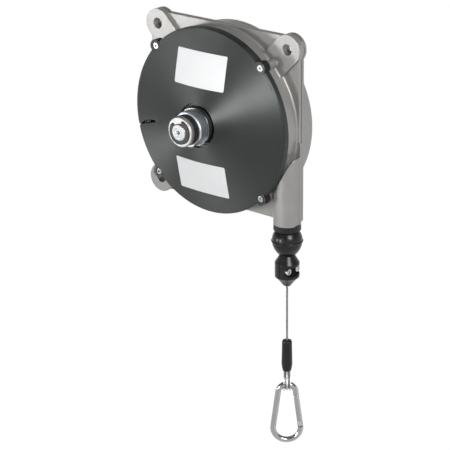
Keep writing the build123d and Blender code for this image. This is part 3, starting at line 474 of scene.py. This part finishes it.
def cast_alloy(settings):
    look = settings.metal
    finish = Finish("cast_alloy", metallic=0.45)
    grain = finish.group("Grain", Size=look.cast_grain, Cloud_size=18 * MM)
    wear = finish.group("Edge wear and highlight", Width=look.wear * 1.6, Breakup=6 * MM)
    dust = finish.group("Dust", Amount=0.10)
    tone = finish.mix(grain["Cloud"], shade(look.cast_colour, 0.86), shade(look.cast_colour, 1.12))
    speckled = finish.mix(finish.ramp(grain["Grain"], 0.35, 0.7, 0.0, 0.35), tone, shade(look.cast_colour, 1.3))
    # Worn edges and painted highlight: the edge mask lightens the casting towards pale grey.
    worn = finish.mix(finish.maths("MULTIPLY", wear["Mask"], 0.6), speckled, (0.62, 0.61, 0.59, 1))
    # Dark joint between the castings, widened into a band of painted shade along the flange edge.
    depth = finish.add("SeparateXYZ", {0: finish.place()}).outputs["Y"]
    from_seam = finish.maths("ABSOLUTE", finish.maths("SUBTRACT", depth, casting_seam))
    seam = finish.ramp(from_seam, look.seam * 1.4, look.seam * 0.7, 0.0, 0.7)
    seam_and_painted_shade = finish.mix(seam, worn, shade(look.cast_colour, 0.15))
    finish.set(Base_Color=finish.mix(dust["Mask"], seam_and_painted_shade, (0.30, 0.29, 0.27, 1)))
    rough = finish.ramp(grain["Grain"], 0.3, 0.7, look.cast_roughness - 0.07, look.cast_roughness + 0.07)
    finish.set(Roughness=finish.maths("SUBTRACT", rough, finish.maths("MULTIPLY", wear["Mask"], 0.15)))
    finish.set(Normal=finish.bump(grain["Grain"], 0.06 * MM, wear["Normal"]))
    return finish.material


def turned_metal(name, colour, roughness, centre, axis, pitch=0.35 * MM, marks=0.012 * MM):
    """A plated or ground turned part, with rings about its axis."""
    finish = Finish(name, metallic=1.0)
    rings = finish.group("Turned marks", Centre=centre, Axis=axis, Pitch=pitch)["Rings"]
    grain = finish.group("Grain", Size=0.5 * MM, Cloud_size=5 * MM)
    edge = finish.group("Edge wear and highlight", Width=0.4 * MM, Breakup=2 * MM)
    tone = finish.mix(grain["Cloud"], shade(colour, 0.84), shade(colour, 1.14))
    # Worn edges and painted highlight: the edge mask lightens the colour by half.
    finish.set(Base_Color=finish.mix(edge["Mask"], tone, shade(colour, 1.5)))
    finish.set(Roughness=finish.ramp(rings, 0.3, 0.7, roughness - 0.06, roughness + 0.08))
    finish.set(Normal=finish.bump(rings, marks, edge["Normal"]))
    return finish.material


def knurled_zinc(settings, centre, teeth=92):
    """Zinc plating over a fine straight knurl round the nut, painted half as bright again as a lit copy of the zinc,
    with painted shade in the knurl's valleys and painted highlight on its worn edges.
    """
    # Painted lit copy: the nut's zinc is half as bright again as the zinc setting.
    colour = shade(settings.metal.zinc_colour, 1.5)
    finish = Finish("knurled_zinc", metallic=1.0)
    away = finish.add("SeparateXYZ", {0: finish.vector("SUBTRACT", finish.place(), centre)})
    turn = finish.maths("ARCTAN2", away.outputs["Z"], away.outputs["X"])
    ridge = finish.maths("ABSOLUTE", finish.maths("SINE", finish.maths("MULTIPLY", turn, teeth / 2)))
    normal = finish.add("SeparateXYZ", {0: finish.add("NewGeometry").outputs["Normal"]})
    on_side = finish.ramp(finish.maths("ABSOLUTE", normal.outputs["Y"]), 0.3, 0.15)
    knurl = finish.maths("MULTIPLY", ridge, on_side)
    grain = finish.group("Grain", Size=0.4 * MM, Cloud_size=6 * MM)
    edge = finish.group("Edge wear and highlight", Width=0.6 * MM, Breakup=2 * MM)
    tone = finish.mix(grain["Cloud"], shade(colour, 0.82), shade(colour, 1.12))
    # Painted shade: the knurl's valleys on the nut's sides are darkened.
    knurl_valley_shade = finish.maths("MULTIPLY", on_side, finish.ramp(ridge, 0.35, 0.0, 0.0, 0.25))
    dark = finish.mix(knurl_valley_shade, tone, shade(colour, 0.3))
    # Worn edges and painted highlight: the edge mask lightens the colour.
    finish.set(Base_Color=finish.mix(edge["Mask"], dark, shade(colour, 1.2)))
    finish.set(Roughness=finish.ramp(grain["Grain"], 0.3, 0.7, 0.30, 0.42))
    finish.set(Normal=finish.bump(knurl, 0.10 * MM, edge["Normal"]))
    return finish.material


def bright_plate(name, colour, roughness):
    """Bright plating with faint clouds and fine scuffs."""
    finish = Finish(name, metallic=1.0)
    grain = finish.group("Grain", Size=0.9 * MM, Cloud_size=7 * MM)
    edge = finish.group("Edge wear and highlight", Width=0.35 * MM, Breakup=2 * MM)
    scuffs = finish.add("TexNoise", {"Vector": finish.place(), "Scale": 600.0, "Detail": 6.0, "Roughness": 0.75})
    tone = finish.mix(grain["Cloud"], shade(colour, 0.88), shade(colour, 1.10))
    # Worn edges and painted highlight: the edge mask lightens the plating to near white.
    finish.set(Base_Color=finish.mix(finish.maths("MULTIPLY", edge["Mask"], 0.6), tone, (0.95, 0.95, 0.94, 1)))
    finish.set(Roughness=finish.ramp(scuffs.outputs[0], 0.35, 0.75, roughness - 0.05, roughness + 0.12))
    finish.set(Normal=finish.bump(grain["Grain"], 0.010 * MM, edge["Normal"]))
    return finish.material


def dark_steel(name, colour, roughness):
    """Oiled dark steel with brighter rubbed edges."""
    finish = Finish(name, metallic=0.85)
    grain = finish.group("Grain", Size=0.5 * MM, Cloud_size=4 * MM)
    edge = finish.group("Edge wear and highlight", Width=0.3 * MM, Breakup=1.5 * MM)
    tone = finish.mix(grain["Cloud"], shade(colour, 0.7), shade(colour, 1.4))
    finish.set(Base_Color=finish.mix(finish.maths("MULTIPLY", edge["Mask"], 0.7), tone, (0.22, 0.22, 0.22, 1)))
    finish.set(Roughness=finish.ramp(grain["Grain"], 0.3, 0.7, roughness - 0.06, roughness + 0.08))
    finish.set(Normal=finish.bump(grain["Grain"], 0.02 * MM, edge["Normal"]))
    return finish.material


def moulded(name, colour, roughness, gloss, skin=0.45 * MM, depth=0.02 * MM):
    """Moulded plastic or rubber with a fine skin, soft edges and a trace of dust."""
    finish = Finish(name)
    finish.shader.inputs["Specular IOR Level"].default_value = gloss
    grain = finish.group("Grain", Size=skin, Cloud_size=9 * MM)
    edge = finish.group("Edge wear and highlight", Width=0.5 * MM, Breakup=2 * MM)
    lying = finish.group("Dust", Amount=0.02)
    tone = finish.mix(grain["Cloud"], shade(colour, 0.8), shade(colour, 1.3))
    rubbed = finish.mix(finish.maths("MULTIPLY", edge["Mask"], 0.25), tone, (0.10, 0.10, 0.10, 1))
    finish.set(Base_Color=finish.mix(lying["Mask"], rubbed, (0.34, 0.33, 0.31, 1)))
    finish.set(Roughness=finish.ramp(grain["Cloud"], 0.3, 0.7, roughness - 0.05, roughness + 0.06))
    finish.set(Normal=finish.bump(grain["Grain"], depth, edge["Normal"]))
    return finish.material


def label_foil(name, colour, roughness, metallic):
    """Bare label foil with slightly darker edges, and faint brushed lines where it is metallic."""
    finish = Finish(name, metallic=metallic)
    grain = finish.group("Grain", Size=1.6 * MM, Cloud_size=15 * MM)
    edge = finish.group("Edge wear and highlight", Width=0.5 * MM, Breakup=2 * MM)
    brushed = finish.add("Mapping", {"Vector": finish.place(), "Scale": (40, 40, 2200)})
    lines = finish.add("TexNoise", {"Vector": brushed.outputs[0], "Scale": 1.0, "Detail": 3.0})
    tone = finish.mix(grain["Cloud"], shade(colour, 0.95), shade(colour, 1.03))
    lined = finish.mix(finish.ramp(lines.outputs[0], 0.4, 0.8, 0.0, 0.10 * metallic), tone, shade(colour, 0.8))
    finish.set(Base_Color=finish.mix(finish.maths("MULTIPLY", edge["Mask"], 0.3), lined, shade(colour, 0.55)))
    finish.set(Roughness=finish.ramp(lines.outputs[0], 0.3, 0.7, roughness - 0.05, roughness + 0.07))
    finish.set(Normal=finish.bump(grain["Grain"], 0.015 * MM, edge["Normal"]))
    return finish.material


def strand_steel(name, colour):
    """Drawn galvanised wires: each strand shows its own finer wires as slanting lines, with painted shade between
    them.
    """
    finish = Finish(name, metallic=1.0)
    grain = finish.group("Grain", Size=0.25 * MM, Cloud_size=3 * MM)
    waves = {"Vector": finish.place(), "Scale": 420.0, "Distortion": 1.5}
    wires = finish.add("TexWave", waves, bands_direction="DIAGONAL")
    tone = finish.mix(grain["Cloud"], shade(colour, 0.7), shade(colour, 1.3))
    # Painted shade between the fine wires.
    between = finish.ramp(wires.outputs["Fac"], 0.25, 0.0, 0.0, 0.5)
    finish.set(Base_Color=finish.mix(between, tone, shade(colour, 0.3)))
    finish.set(Roughness=finish.ramp(grain["Grain"], 0.3, 0.7, 0.28, 0.42))
    finish.set(Normal=finish.bump(wires.outputs["Fac"], 0.03 * MM))
    return finish.material


def dress(node, material):
    """Gives a CAD node's object one material."""
    obj = frame["nodes"][node]
    obj.data.materials.clear()
    obj.data.materials.append(material)


# Mesh helpers


def mesh_piece(name, mesh, body, material, smooth=True):
    """An object from a bmesh, riding on a body where one is given."""
    data = bpy.data.meshes.new(name)
    bmesh.ops.recalc_face_normals(mesh, faces=mesh.faces)
    mesh.to_mesh(data)
    mesh.free()
    for polygon in data.polygons:
        polygon.use_smooth = smooth
    data.materials.append(material)
    obj = bpy.data.objects.new(name, data)
    bpy.context.scene.collection.objects.link(obj)
    if body:
        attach(obj, body)
    return obj


def frames_along(points):
    """A point, a tangent and two steady side directions at each point of a path."""
    tangents = []
    for index in range(len(points)):
        before = points[max(0, index - 1)]
        after = points[min(len(points) - 1, index + 1)]
        tangents.append((after - before).normalized())
    side = tangents[0].orthogonal().normalized()
    placed = []
    for point, tangent in zip(points, tangents):
        side = (side - tangent * side.dot(tangent)).normalized()
        placed.append((point, tangent, side, tangent.cross(side)))
    return placed


def add_tube(mesh, points, radius, sides):
    """A closed round tube along points, added to a bmesh."""
    rings = []
    for point, _, side, up in frames_along(points):
        ring = []
        for index in range(sides):
            turn = 2 * math.pi * index / sides
            ring.append(mesh.verts.new(point + (side * math.cos(turn) + up * math.sin(turn)) * radius))
        rings.append(ring)
    for a, b in zip(rings, rings[1:]):
        for index in range(sides):
            after = (index + 1) % sides
            mesh.faces.new((a[index], a[after], b[after], b[index]))
    mesh.faces.new(list(reversed(rings[0])))
    mesh.faces.new(rings[-1])


def rope_mesh(points, settings, sides=8):
    """Strands laid round a core along a path of closely spaced points."""
    cable = settings.cable
    radius = cable.diameter / 2
    pressed = 1.03
    strand = radius / 3 * pressed
    mesh = bmesh.new()
    placed = frames_along(points)
    lengths = [0.0]
    for a, b in zip(points, points[1:]):
        lengths.append(lengths[-1] + (b - a).length)
    for number in range(cable.strands):
        line = []
        for (point, _, side, up), length in zip(placed, lengths):
            turn = 2 * math.pi * (length / cable.lay_length + number / cable.strands)
            line.append(point + (side * math.cos(turn) + up * math.sin(turn)) * (radius - strand))
        add_tube(mesh, line, strand, sides)
    add_tube(mesh, points, strand, sides)
    return mesh


def spline_points(name, route, resolution):
    """Closely spaced points on the smooth line that a route's points control."""
    curve = bpy.data.curves.new(name, "CURVE")
    curve.dimensions = "3D"
    curve.resolution_u = resolution
    spline = curve.splines.new("NURBS")
    spline.points.add(len(route) - 1)
    for point, place in zip(spline.points, route):
        point.co = (*place, 1.0)
    spline.order_u = 3
    spline.use_endpoint_u = True
    holder = bpy.data.objects.new(name, curve)
    line = [Vector(v.co) for v in bpy.data.meshes.new_from_object(holder).vertices]
    bpy.data.objects.remove(holder)
    return line


def rounded_outline(width, height, corner, steps=6):
    """Corner points of a rounded rectangle in X and Z, in order."""
    points = []
    for turn, sx, sz in ((0, 1, 1), (90, -1, 1), (180, -1, -1), (270, 1, -1)):
        for step in range(steps + 1):
            angle = math.radians(turn + 90 * step / steps)
            x = sx * (width / 2 - corner) + corner * math.cos(angle)
            z = sz * (height / 2 - corner) + corner * math.sin(angle)
            points.append((x, z))
    return points


def split_long(points, longest):
    """The same outline with points added so that no edge is longer than a length."""
    closer = []
    for a, b in zip(points, points[1:] + points[:1]):
        count = max(1, math.ceil(math.dist(a, b) / longest))
        for step in range(count):
            share = step / count
            closer.append((a[0] + (b[0] - a[0]) * share, a[1] + (b[1] - a[1]) * share))
    return closer


def cover_surface():
    """A tree of the cover's faces, to lay labels on."""
    data = frame["nodes"]["front_cover"].data
    return BVHTree.FromPolygons([v.co for v in data.vertices], [p.vertices for p in data.polygons])


def laid(tree, x, z, lift):
    """The point in front of the cover's face at x and z."""
    start = Vector((x, cover_front - 100 * MM, z))
    hit = tree.ray_cast(start, Vector((0, 1, 0)))[0]
    return Vector((x, hit.y - lift, z))


def laid_plate(tree, outline, centre, lift, thickness):
    """A thin closed plate that follows the cover's face, from an outline about a centre."""
    mesh = bmesh.new()
    shares = (1.0, 0.93, 0.8, 0.62, 0.42, 0.2)
    layers = []
    for level in (lift + thickness, lift):
        rings = []
        for share in shares:
            ring = []
            for x, z in outline:
                ring.append(mesh.verts.new(laid(tree, centre.x + x * share, centre.z + z * share, level)))
            rings.append(ring)
        hub = mesh.verts.new(laid(tree, centre.x, centre.z, level))
        layers.append((rings, hub))
    count = len(outline)
    for rings, hub in layers:
        for a, b in zip(rings, rings[1:]):
            for index in range(count):
                after = (index + 1) % count
                mesh.faces.new((a[index], a[after], b[after], b[index]))
        for index in range(count):
            mesh.faces.new((rings[-1][index], rings[-1][(index + 1) % count], hub))
    top, bottom = layers[0][0][0], layers[1][0][0]
    for index in range(count):
        after = (index + 1) % count
        mesh.faces.new((top[index], bottom[index], bottom[after], top[after]))
    return mesh


# Operators


class PaintCover(Operator):
    """Paints the front cover in satin dark grey"""

    bl_idname = "balancer.paint_cover"
    bl_label = "Cover paint"

    def execute(self, context):
        dress("front_cover", cover_paint(context.scene.balancer))
        return {"FINISHED"}


class FinishCastings(Operator):
    """Gives the two castings their fine grained alloy"""

    bl_idname = "balancer.finish_castings"
    bl_label = "Castings"

    def execute(self, context):
        alloy = cast_alloy(context.scene.balancer)
        dress("front_casting", alloy)
        dress("rear_casting", alloy)
        return {"FINISHED"}


class FinishHub(Operator):
    """Finishes the arbor and the pieces that are stacked on it"""

    bl_idname = "balancer.finish_hub"
    bl_label = "Hub"

    def execute(self, context):
        settings = context.scene.balancer
        zinc = tuple(settings.metal.zinc_colour)
        axis = hub_direction
        plated = turned_metal("hub_zinc", zinc, 0.26, hub_axis, axis)
        dress("ratchet_collar", plated)
        dress("thrust_washer", turned_metal("washer_zinc", (0.43, 0.425, 0.41), 0.42, hub_axis, axis))
        dress("adjusting_nut", knurled_zinc(settings, hub_axis))
        dress("arbor", turned_metal("arbor_steel", (0.42, 0.43, 0.43), 0.30, hub_axis, axis, 0.6 * MM, 0.02 * MM))
        black = dark_steel("black_oxide", (0.045, 0.045, 0.046), 0.42)
        dress("disc_springs", black)
        dress("retaining_ring", black)
        dress("nut_key", dark_steel("key_steel", (0.30, 0.30, 0.30), 0.40))
        return {"FINISHED"}


class FinishScrews(Operator):
    """Finishes the cover's and the clamp's screws"""

    bl_idname = "balancer.finish_screws"
    bl_label = "Screws"

    def execute(self, context):
        settings = context.scene.balancer
        dress("cover_screws", bright_plate("screw_zinc", tuple(settings.metal.zinc_colour), 0.28))
        dress("clamp_screws", bright_plate("clamp_screw_zinc", tuple(settings.metal.zinc_colour), 0.24))
        return {"FINISHED"}


class FinishInside(Operator):
    """Finishes the drum, its bushes and the springs inside the housing"""

    bl_idname = "balancer.finish_inside"
    bl_label = "Inside"

    def execute(self, context):
        axis = hub_direction
        alloy = turned_metal("drum_alloy", (0.60, 0.60, 0.60), 0.34, hub_axis, axis, 0.8 * MM)
        bronze = turned_metal("bearing_bronze", (0.48, 0.31, 0.14), 0.30, hub_axis, axis)
        steel = dark_steel("spring_steel", (0.22, 0.24, 0.28), 0.30)
        pin = bright_plate("pin_steel", (0.60, 0.60, 0.59), 0.25)
        for node in ("cable_drum", "spring_cover"):
            dress(node, alloy)
        for node in ("rear_bush", "drum_bush_front", "drum_bush_rear"):
            dress(node, bronze)
        for node in ("power_spring", "gate_spring"):
            dress(node, steel)
        for node in ("spring_outer_pin", "cable_stop", "spring_cover_screws", "cable_ferrule"):
            dress(node, pin)
        return {"FINISHED"}


class FinishBlackPieces(Operator):
    """Finishes the guide bush, the bumper ball, the clamp and the sleeve"""

    bl_idname = "balancer.finish_black"
    bl_label = "Black pieces"

    def execute(self, context):
        black = context.scene.balancer.black
        rubber, plastic, gloss = tuple(black.rubber), tuple(black.plastic), black.gloss
        dress("bumper_ball", moulded("ball_rubber", rubber, 0.24, gloss, 0.6 * MM, 0.015 * MM))
        dress("guide_bush", moulded("guide_plastic", plastic, 0.40, gloss))
        clamp = moulded("clamp_plastic", plastic, 0.25, gloss)
        dress("clamp_left_half", clamp)
        dress("clamp_right_half", clamp)
        dress("ferrule_sleeve", moulded("sleeve_plastic", plastic, 0.28, gloss, 1.2 * MM, 0.008 * MM))
        return {"FINISHED"}


class FinishHook(Operator):
    """Plates the snap hook, its gate and the thimble"""

    bl_idname = "balancer.finish_hook"
    bl_label = "Hook"

    def execute(self, context):
        nickel = tuple(context.scene.balancer.metal.nickel_colour)
        plated = bright_plate("hook_nickel", nickel, 0.16)
        for node in ("snap_hook", "gate"):
            dress(node, plated)
        dress("thimble", bright_plate("thimble_zinc", shade(nickel, 1.2)[:3], 0.30))
        for node in ("gate_pin", "gate_latch_pin"):
            dress(node, bright_plate(node + "_steel", (0.62, 0.62, 0.61), 0.24))
        return {"FINISHED"}


class LayLabels(Operator):
    """Lays two bare foil labels on the cover"""

    bl_idname = "balancer.lay_labels"
    bl_label = "Labels"

    def execute(self, context):
        label = context.scene.balancer.label
        tree = cover_surface()
        outline = split_long(rounded_outline(label.width, label.height, label.corner), 3 * MM)
        white = label_foil("label_white", (0.70, 0.71, 0.715), 0.40, 0.0)
        silver = label_foil("label_silver", (0.72, 0.73, 0.735), 0.40, 0.15)
        places = (("upper_label", label.upper_z, white), ("lower_label", label.lower_z, silver))
        for name, height, foil in places:
            centre = hub_axis + Vector((label.from_hub_x, 0, height))
            mesh = laid_plate(tree, outline, centre, label.lift, label.thickness)
            mesh_piece(name, mesh, "housing", foil, smooth=False)
        return {"FINISHED"}


class StrandCables(Operator):
    """Replaces the plain cables with stranded ones"""

    bl_idname = "balancer.strand_cables"
    bl_label = "Cables"

    def execute(self, context):
        settings = context.scene.balancer
        steel = strand_steel("strand_steel", (0.24, 0.24, 0.235))
        dress("wound_cable", steel)
        dress("cable_eye", strand_steel("eye_strands", (0.58, 0.58, 0.57)))
        self.hanging(settings, steel)
        self.feed(settings, steel)
        return {"FINISHED"}

    def straight(self, name, node):
        """Points down a straight cable's middle, from its top to its foot."""
        low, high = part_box(node)
        route = [Vector((cable_axis.x, cable_axis.y, z)) for z in (high.z, (high.z + low.z) / 2, low.z)]
        return spline_points(name, route, 80)

    def hanging(self, settings, steel):
        points = self.straight("hanging_line", "hanging_cable")
        rope = mesh_piece("hanging_strands", rope_mesh(points, settings), "cable_end", steel)
        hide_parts("hanging_cable")

    def feed(self, settings, steel):
        points = self.straight("feed_line", "feed_cable")
        rope = mesh_piece("feed_strands", rope_mesh(points, settings, 6), None, steel)
        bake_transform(rope)
        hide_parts("feed_cable")


class SetStudio(Operator):
    """Puts up the floor, the soft light and the camera"""

    bl_idname = "balancer.set_studio"
    bl_label = "Studio"

    def execute(self, context):
        settings = context.scene.balancer
        studio = settings.studio
        context.scene.view_settings.view_transform = "Standard"
        self.floor(context, studio)
        self.sky(context, studio)
        self.lamp(context, "side_light", Vector((1.20, -0.62, 0.75)), 0.8, studio.side)
        self.lamp(context, "near_light", hub_axis + Vector((-0.22, -1.375, -0.02)), 0.25, studio.front)
        self.lamp(context, "left_light", hub_axis + Vector((-0.904, -1.059, -0.147)), 0.25, studio.left)
        self.camera(context, settings.camera)
        return {"FINISHED"}

    def floor(self, context, studio):
        height = cad_box[0].z - studio.floor_drop
        mesh = bmesh.new()
        bmesh.ops.create_grid(mesh, x_segments=8, y_segments=8, size=studio.floor_reach)
        bmesh.ops.translate(mesh, verts=mesh.verts, vec=(0, 0, height))
        data = bpy.data.meshes.new("floor")
        mesh.to_mesh(data)
        mesh.free()
        data.materials.append(self.floor_material(studio))
        obj = bpy.data.objects.new("floor", data)
        context.scene.collection.objects.link(obj)

    def floor_material(self, studio):
        """A pale matte floor, evened out to white for the camera, metal and glass."""
        finish = Finish("floor_paper")
        grain = finish.group("Grain", Size=2 * MM, Cloud_size=90 * MM)
        tone = finish.mix(grain["Cloud"], shade(studio.floor_colour, 0.98), shade(studio.floor_colour, 1.02))
        finish.set(Base_Color=tone, Roughness=0.9)
        path = finish.add("LightPath").outputs
        seen = finish.maths("MAXIMUM", path["Is Camera Ray"], path["Is Transmission Ray"])
        seen = finish.maths("MAXIMUM", seen, path["Is Glossy Ray"])
        depth = finish.add("SeparateXYZ", {0: finish.place()}).outputs["Y"]
        front, back = -1.4, 0.3
        level = finish.ramp(depth, front, back, studio.glow_front, studio.glow_back)
        glow = finish.add("Emission", {"Color": (1, 1, 1, 1), "Strength": finish.maths("MULTIPLY", seen, level)})
        both = finish.add("AddShader")
        finish.give(both.inputs[0], finish.shader.outputs[0])
        finish.give(both.inputs[1], glow.outputs[0])
        finish.give(finish.tree.nodes["Material Output"].inputs["Surface"], both.outputs[0])
        return finish.material

    def sky(self, context, studio):
        """Soft light from all round. The camera, metal and glass see white low down and grey above."""
        world = bpy.data.worlds.new("soft_sky")
        world.use_nodes = True
        context.scene.world = world
        graph = Graph(world.node_tree)
        background = world.node_tree.nodes["Background"]
        up = graph.add("SeparateXYZ", {0: graph.add("TexCoord").outputs["Generated"]}).outputs["Z"]
        horizon, overhead = 1.15, 0.55
        level = graph.ramp(graph.maths("ABSOLUTE", up), 0.0, 1.0, horizon, overhead)
        path = graph.add("LightPath").outputs
        seen = graph.maths("MAXIMUM", path["Is Camera Ray"], path["Is Transmission Ray"])
        seen = graph.maths("MAXIMUM", seen, path["Is Glossy Ray"])
        strength = graph.add("Mix", {"Factor": seen}, data_type="FLOAT")
        graph.give(strength.inputs["A"], graph.maths("MULTIPLY", level, studio.sky))
        white, grey = 1.0, 0.20
        graph.give(strength.inputs["B"], graph.ramp(up, 0.10, 0.40, white, grey))
        graph.give(background.inputs["Color"], (1, 1, 1, 1))
        graph.give(background.inputs["Strength"], strength.outputs["Result"])

    def lamp(self, context, name, place, size, power):
        data = bpy.data.lights.new(name, "AREA")
        data.shape = "SQUARE"
        data.size = size
        data.energy = power
        lamp = bpy.data.objects.new(name, data)
        aim = hub_axis + Vector((0, 0, -0.08))
        lamp.location = place
        lamp.rotation_mode = "QUATERNION"
        lamp.rotation_quaternion = (aim - place).to_track_quat("-Z", "Y")
        lamp.visible_camera = False
        context.scene.collection.objects.link(lamp)

    def camera(self, context, view):
        turn, rise = view.azimuth, view.elevation
        right = Vector((math.cos(turn), math.sin(turn), 0))
        back = Vector((math.sin(turn) * math.cos(rise), -math.cos(turn) * math.cos(rise), math.sin(rise)))
        up = back.cross(right)
        across = right * math.cos(view.roll) + up * math.sin(view.roll)
        upward = up * math.cos(view.roll) - right * math.sin(view.roll)
        hub = Vector((hub_axis.x, view.hub_depth, hub_axis.z))
        place = hub + right * view.aim_right + up * view.aim_up + back * view.distance
        data = bpy.data.cameras.new("camera")
        data.lens = view.lens
        data.sensor_width = 36.0
        data.clip_start, data.clip_end = 0.05, 60.0
        obj = bpy.data.objects.new("camera", data)
        turned = Matrix((across, upward, back)).transposed().to_4x4()
        obj.matrix_world = Matrix.Translation(place) @ turned
        context.scene.collection.objects.link(obj)
        context.scene.camera = obj


class BalancerPanel(Panel):
    """Lists the balancer's pieces in the sidebar"""

    bl_idname = "VIEW3D_PT_balancer"
    bl_label = "Tool balancer"
    bl_space_type = "VIEW_3D"
    bl_region_type = "UI"
    bl_category = "Balancer"

    def draw(self, context):
        column = self.layout.column()
        for operator in operators:
            column.operator(operator.bl_idname)


setting_groups = (
    CoverSettings,
    MetalSettings,
    BlackSettings,
    LabelSettings,
    CableSettings,
    StudioSettings,
    CameraSettings,
    BalancerSettings,
)
operators = (
    PaintCover,
    FinishCastings,
    FinishHub,
    FinishScrews,
    FinishInside,
    FinishBlackPieces,
    FinishHook,
    LayLabels,
    StrandCables,
    SetStudio,
)


def register():
    for group in (*setting_groups, *operators, BalancerPanel):
        bpy.utils.register_class(group)
    bpy.types.Scene.balancer = PointerProperty(type=BalancerSettings)


def unregister():
    del bpy.types.Scene.balancer
    for group in reversed((*setting_groups, *operators, BalancerPanel)):
        bpy.utils.unregister_class(group)


def main():
    register()
    bpy.ops.balancer.paint_cover()
    bpy.ops.balancer.finish_castings()
    bpy.ops.balancer.finish_hub()
    bpy.ops.balancer.finish_screws()
    bpy.ops.balancer.finish_inside()
    bpy.ops.balancer.finish_black()
    bpy.ops.balancer.finish_hook()
    bpy.ops.balancer.lay_labels()
    bpy.ops.balancer.strand_cables()
    bpy.ops.balancer.set_studio()


if __name__ == "__main__":
    main()
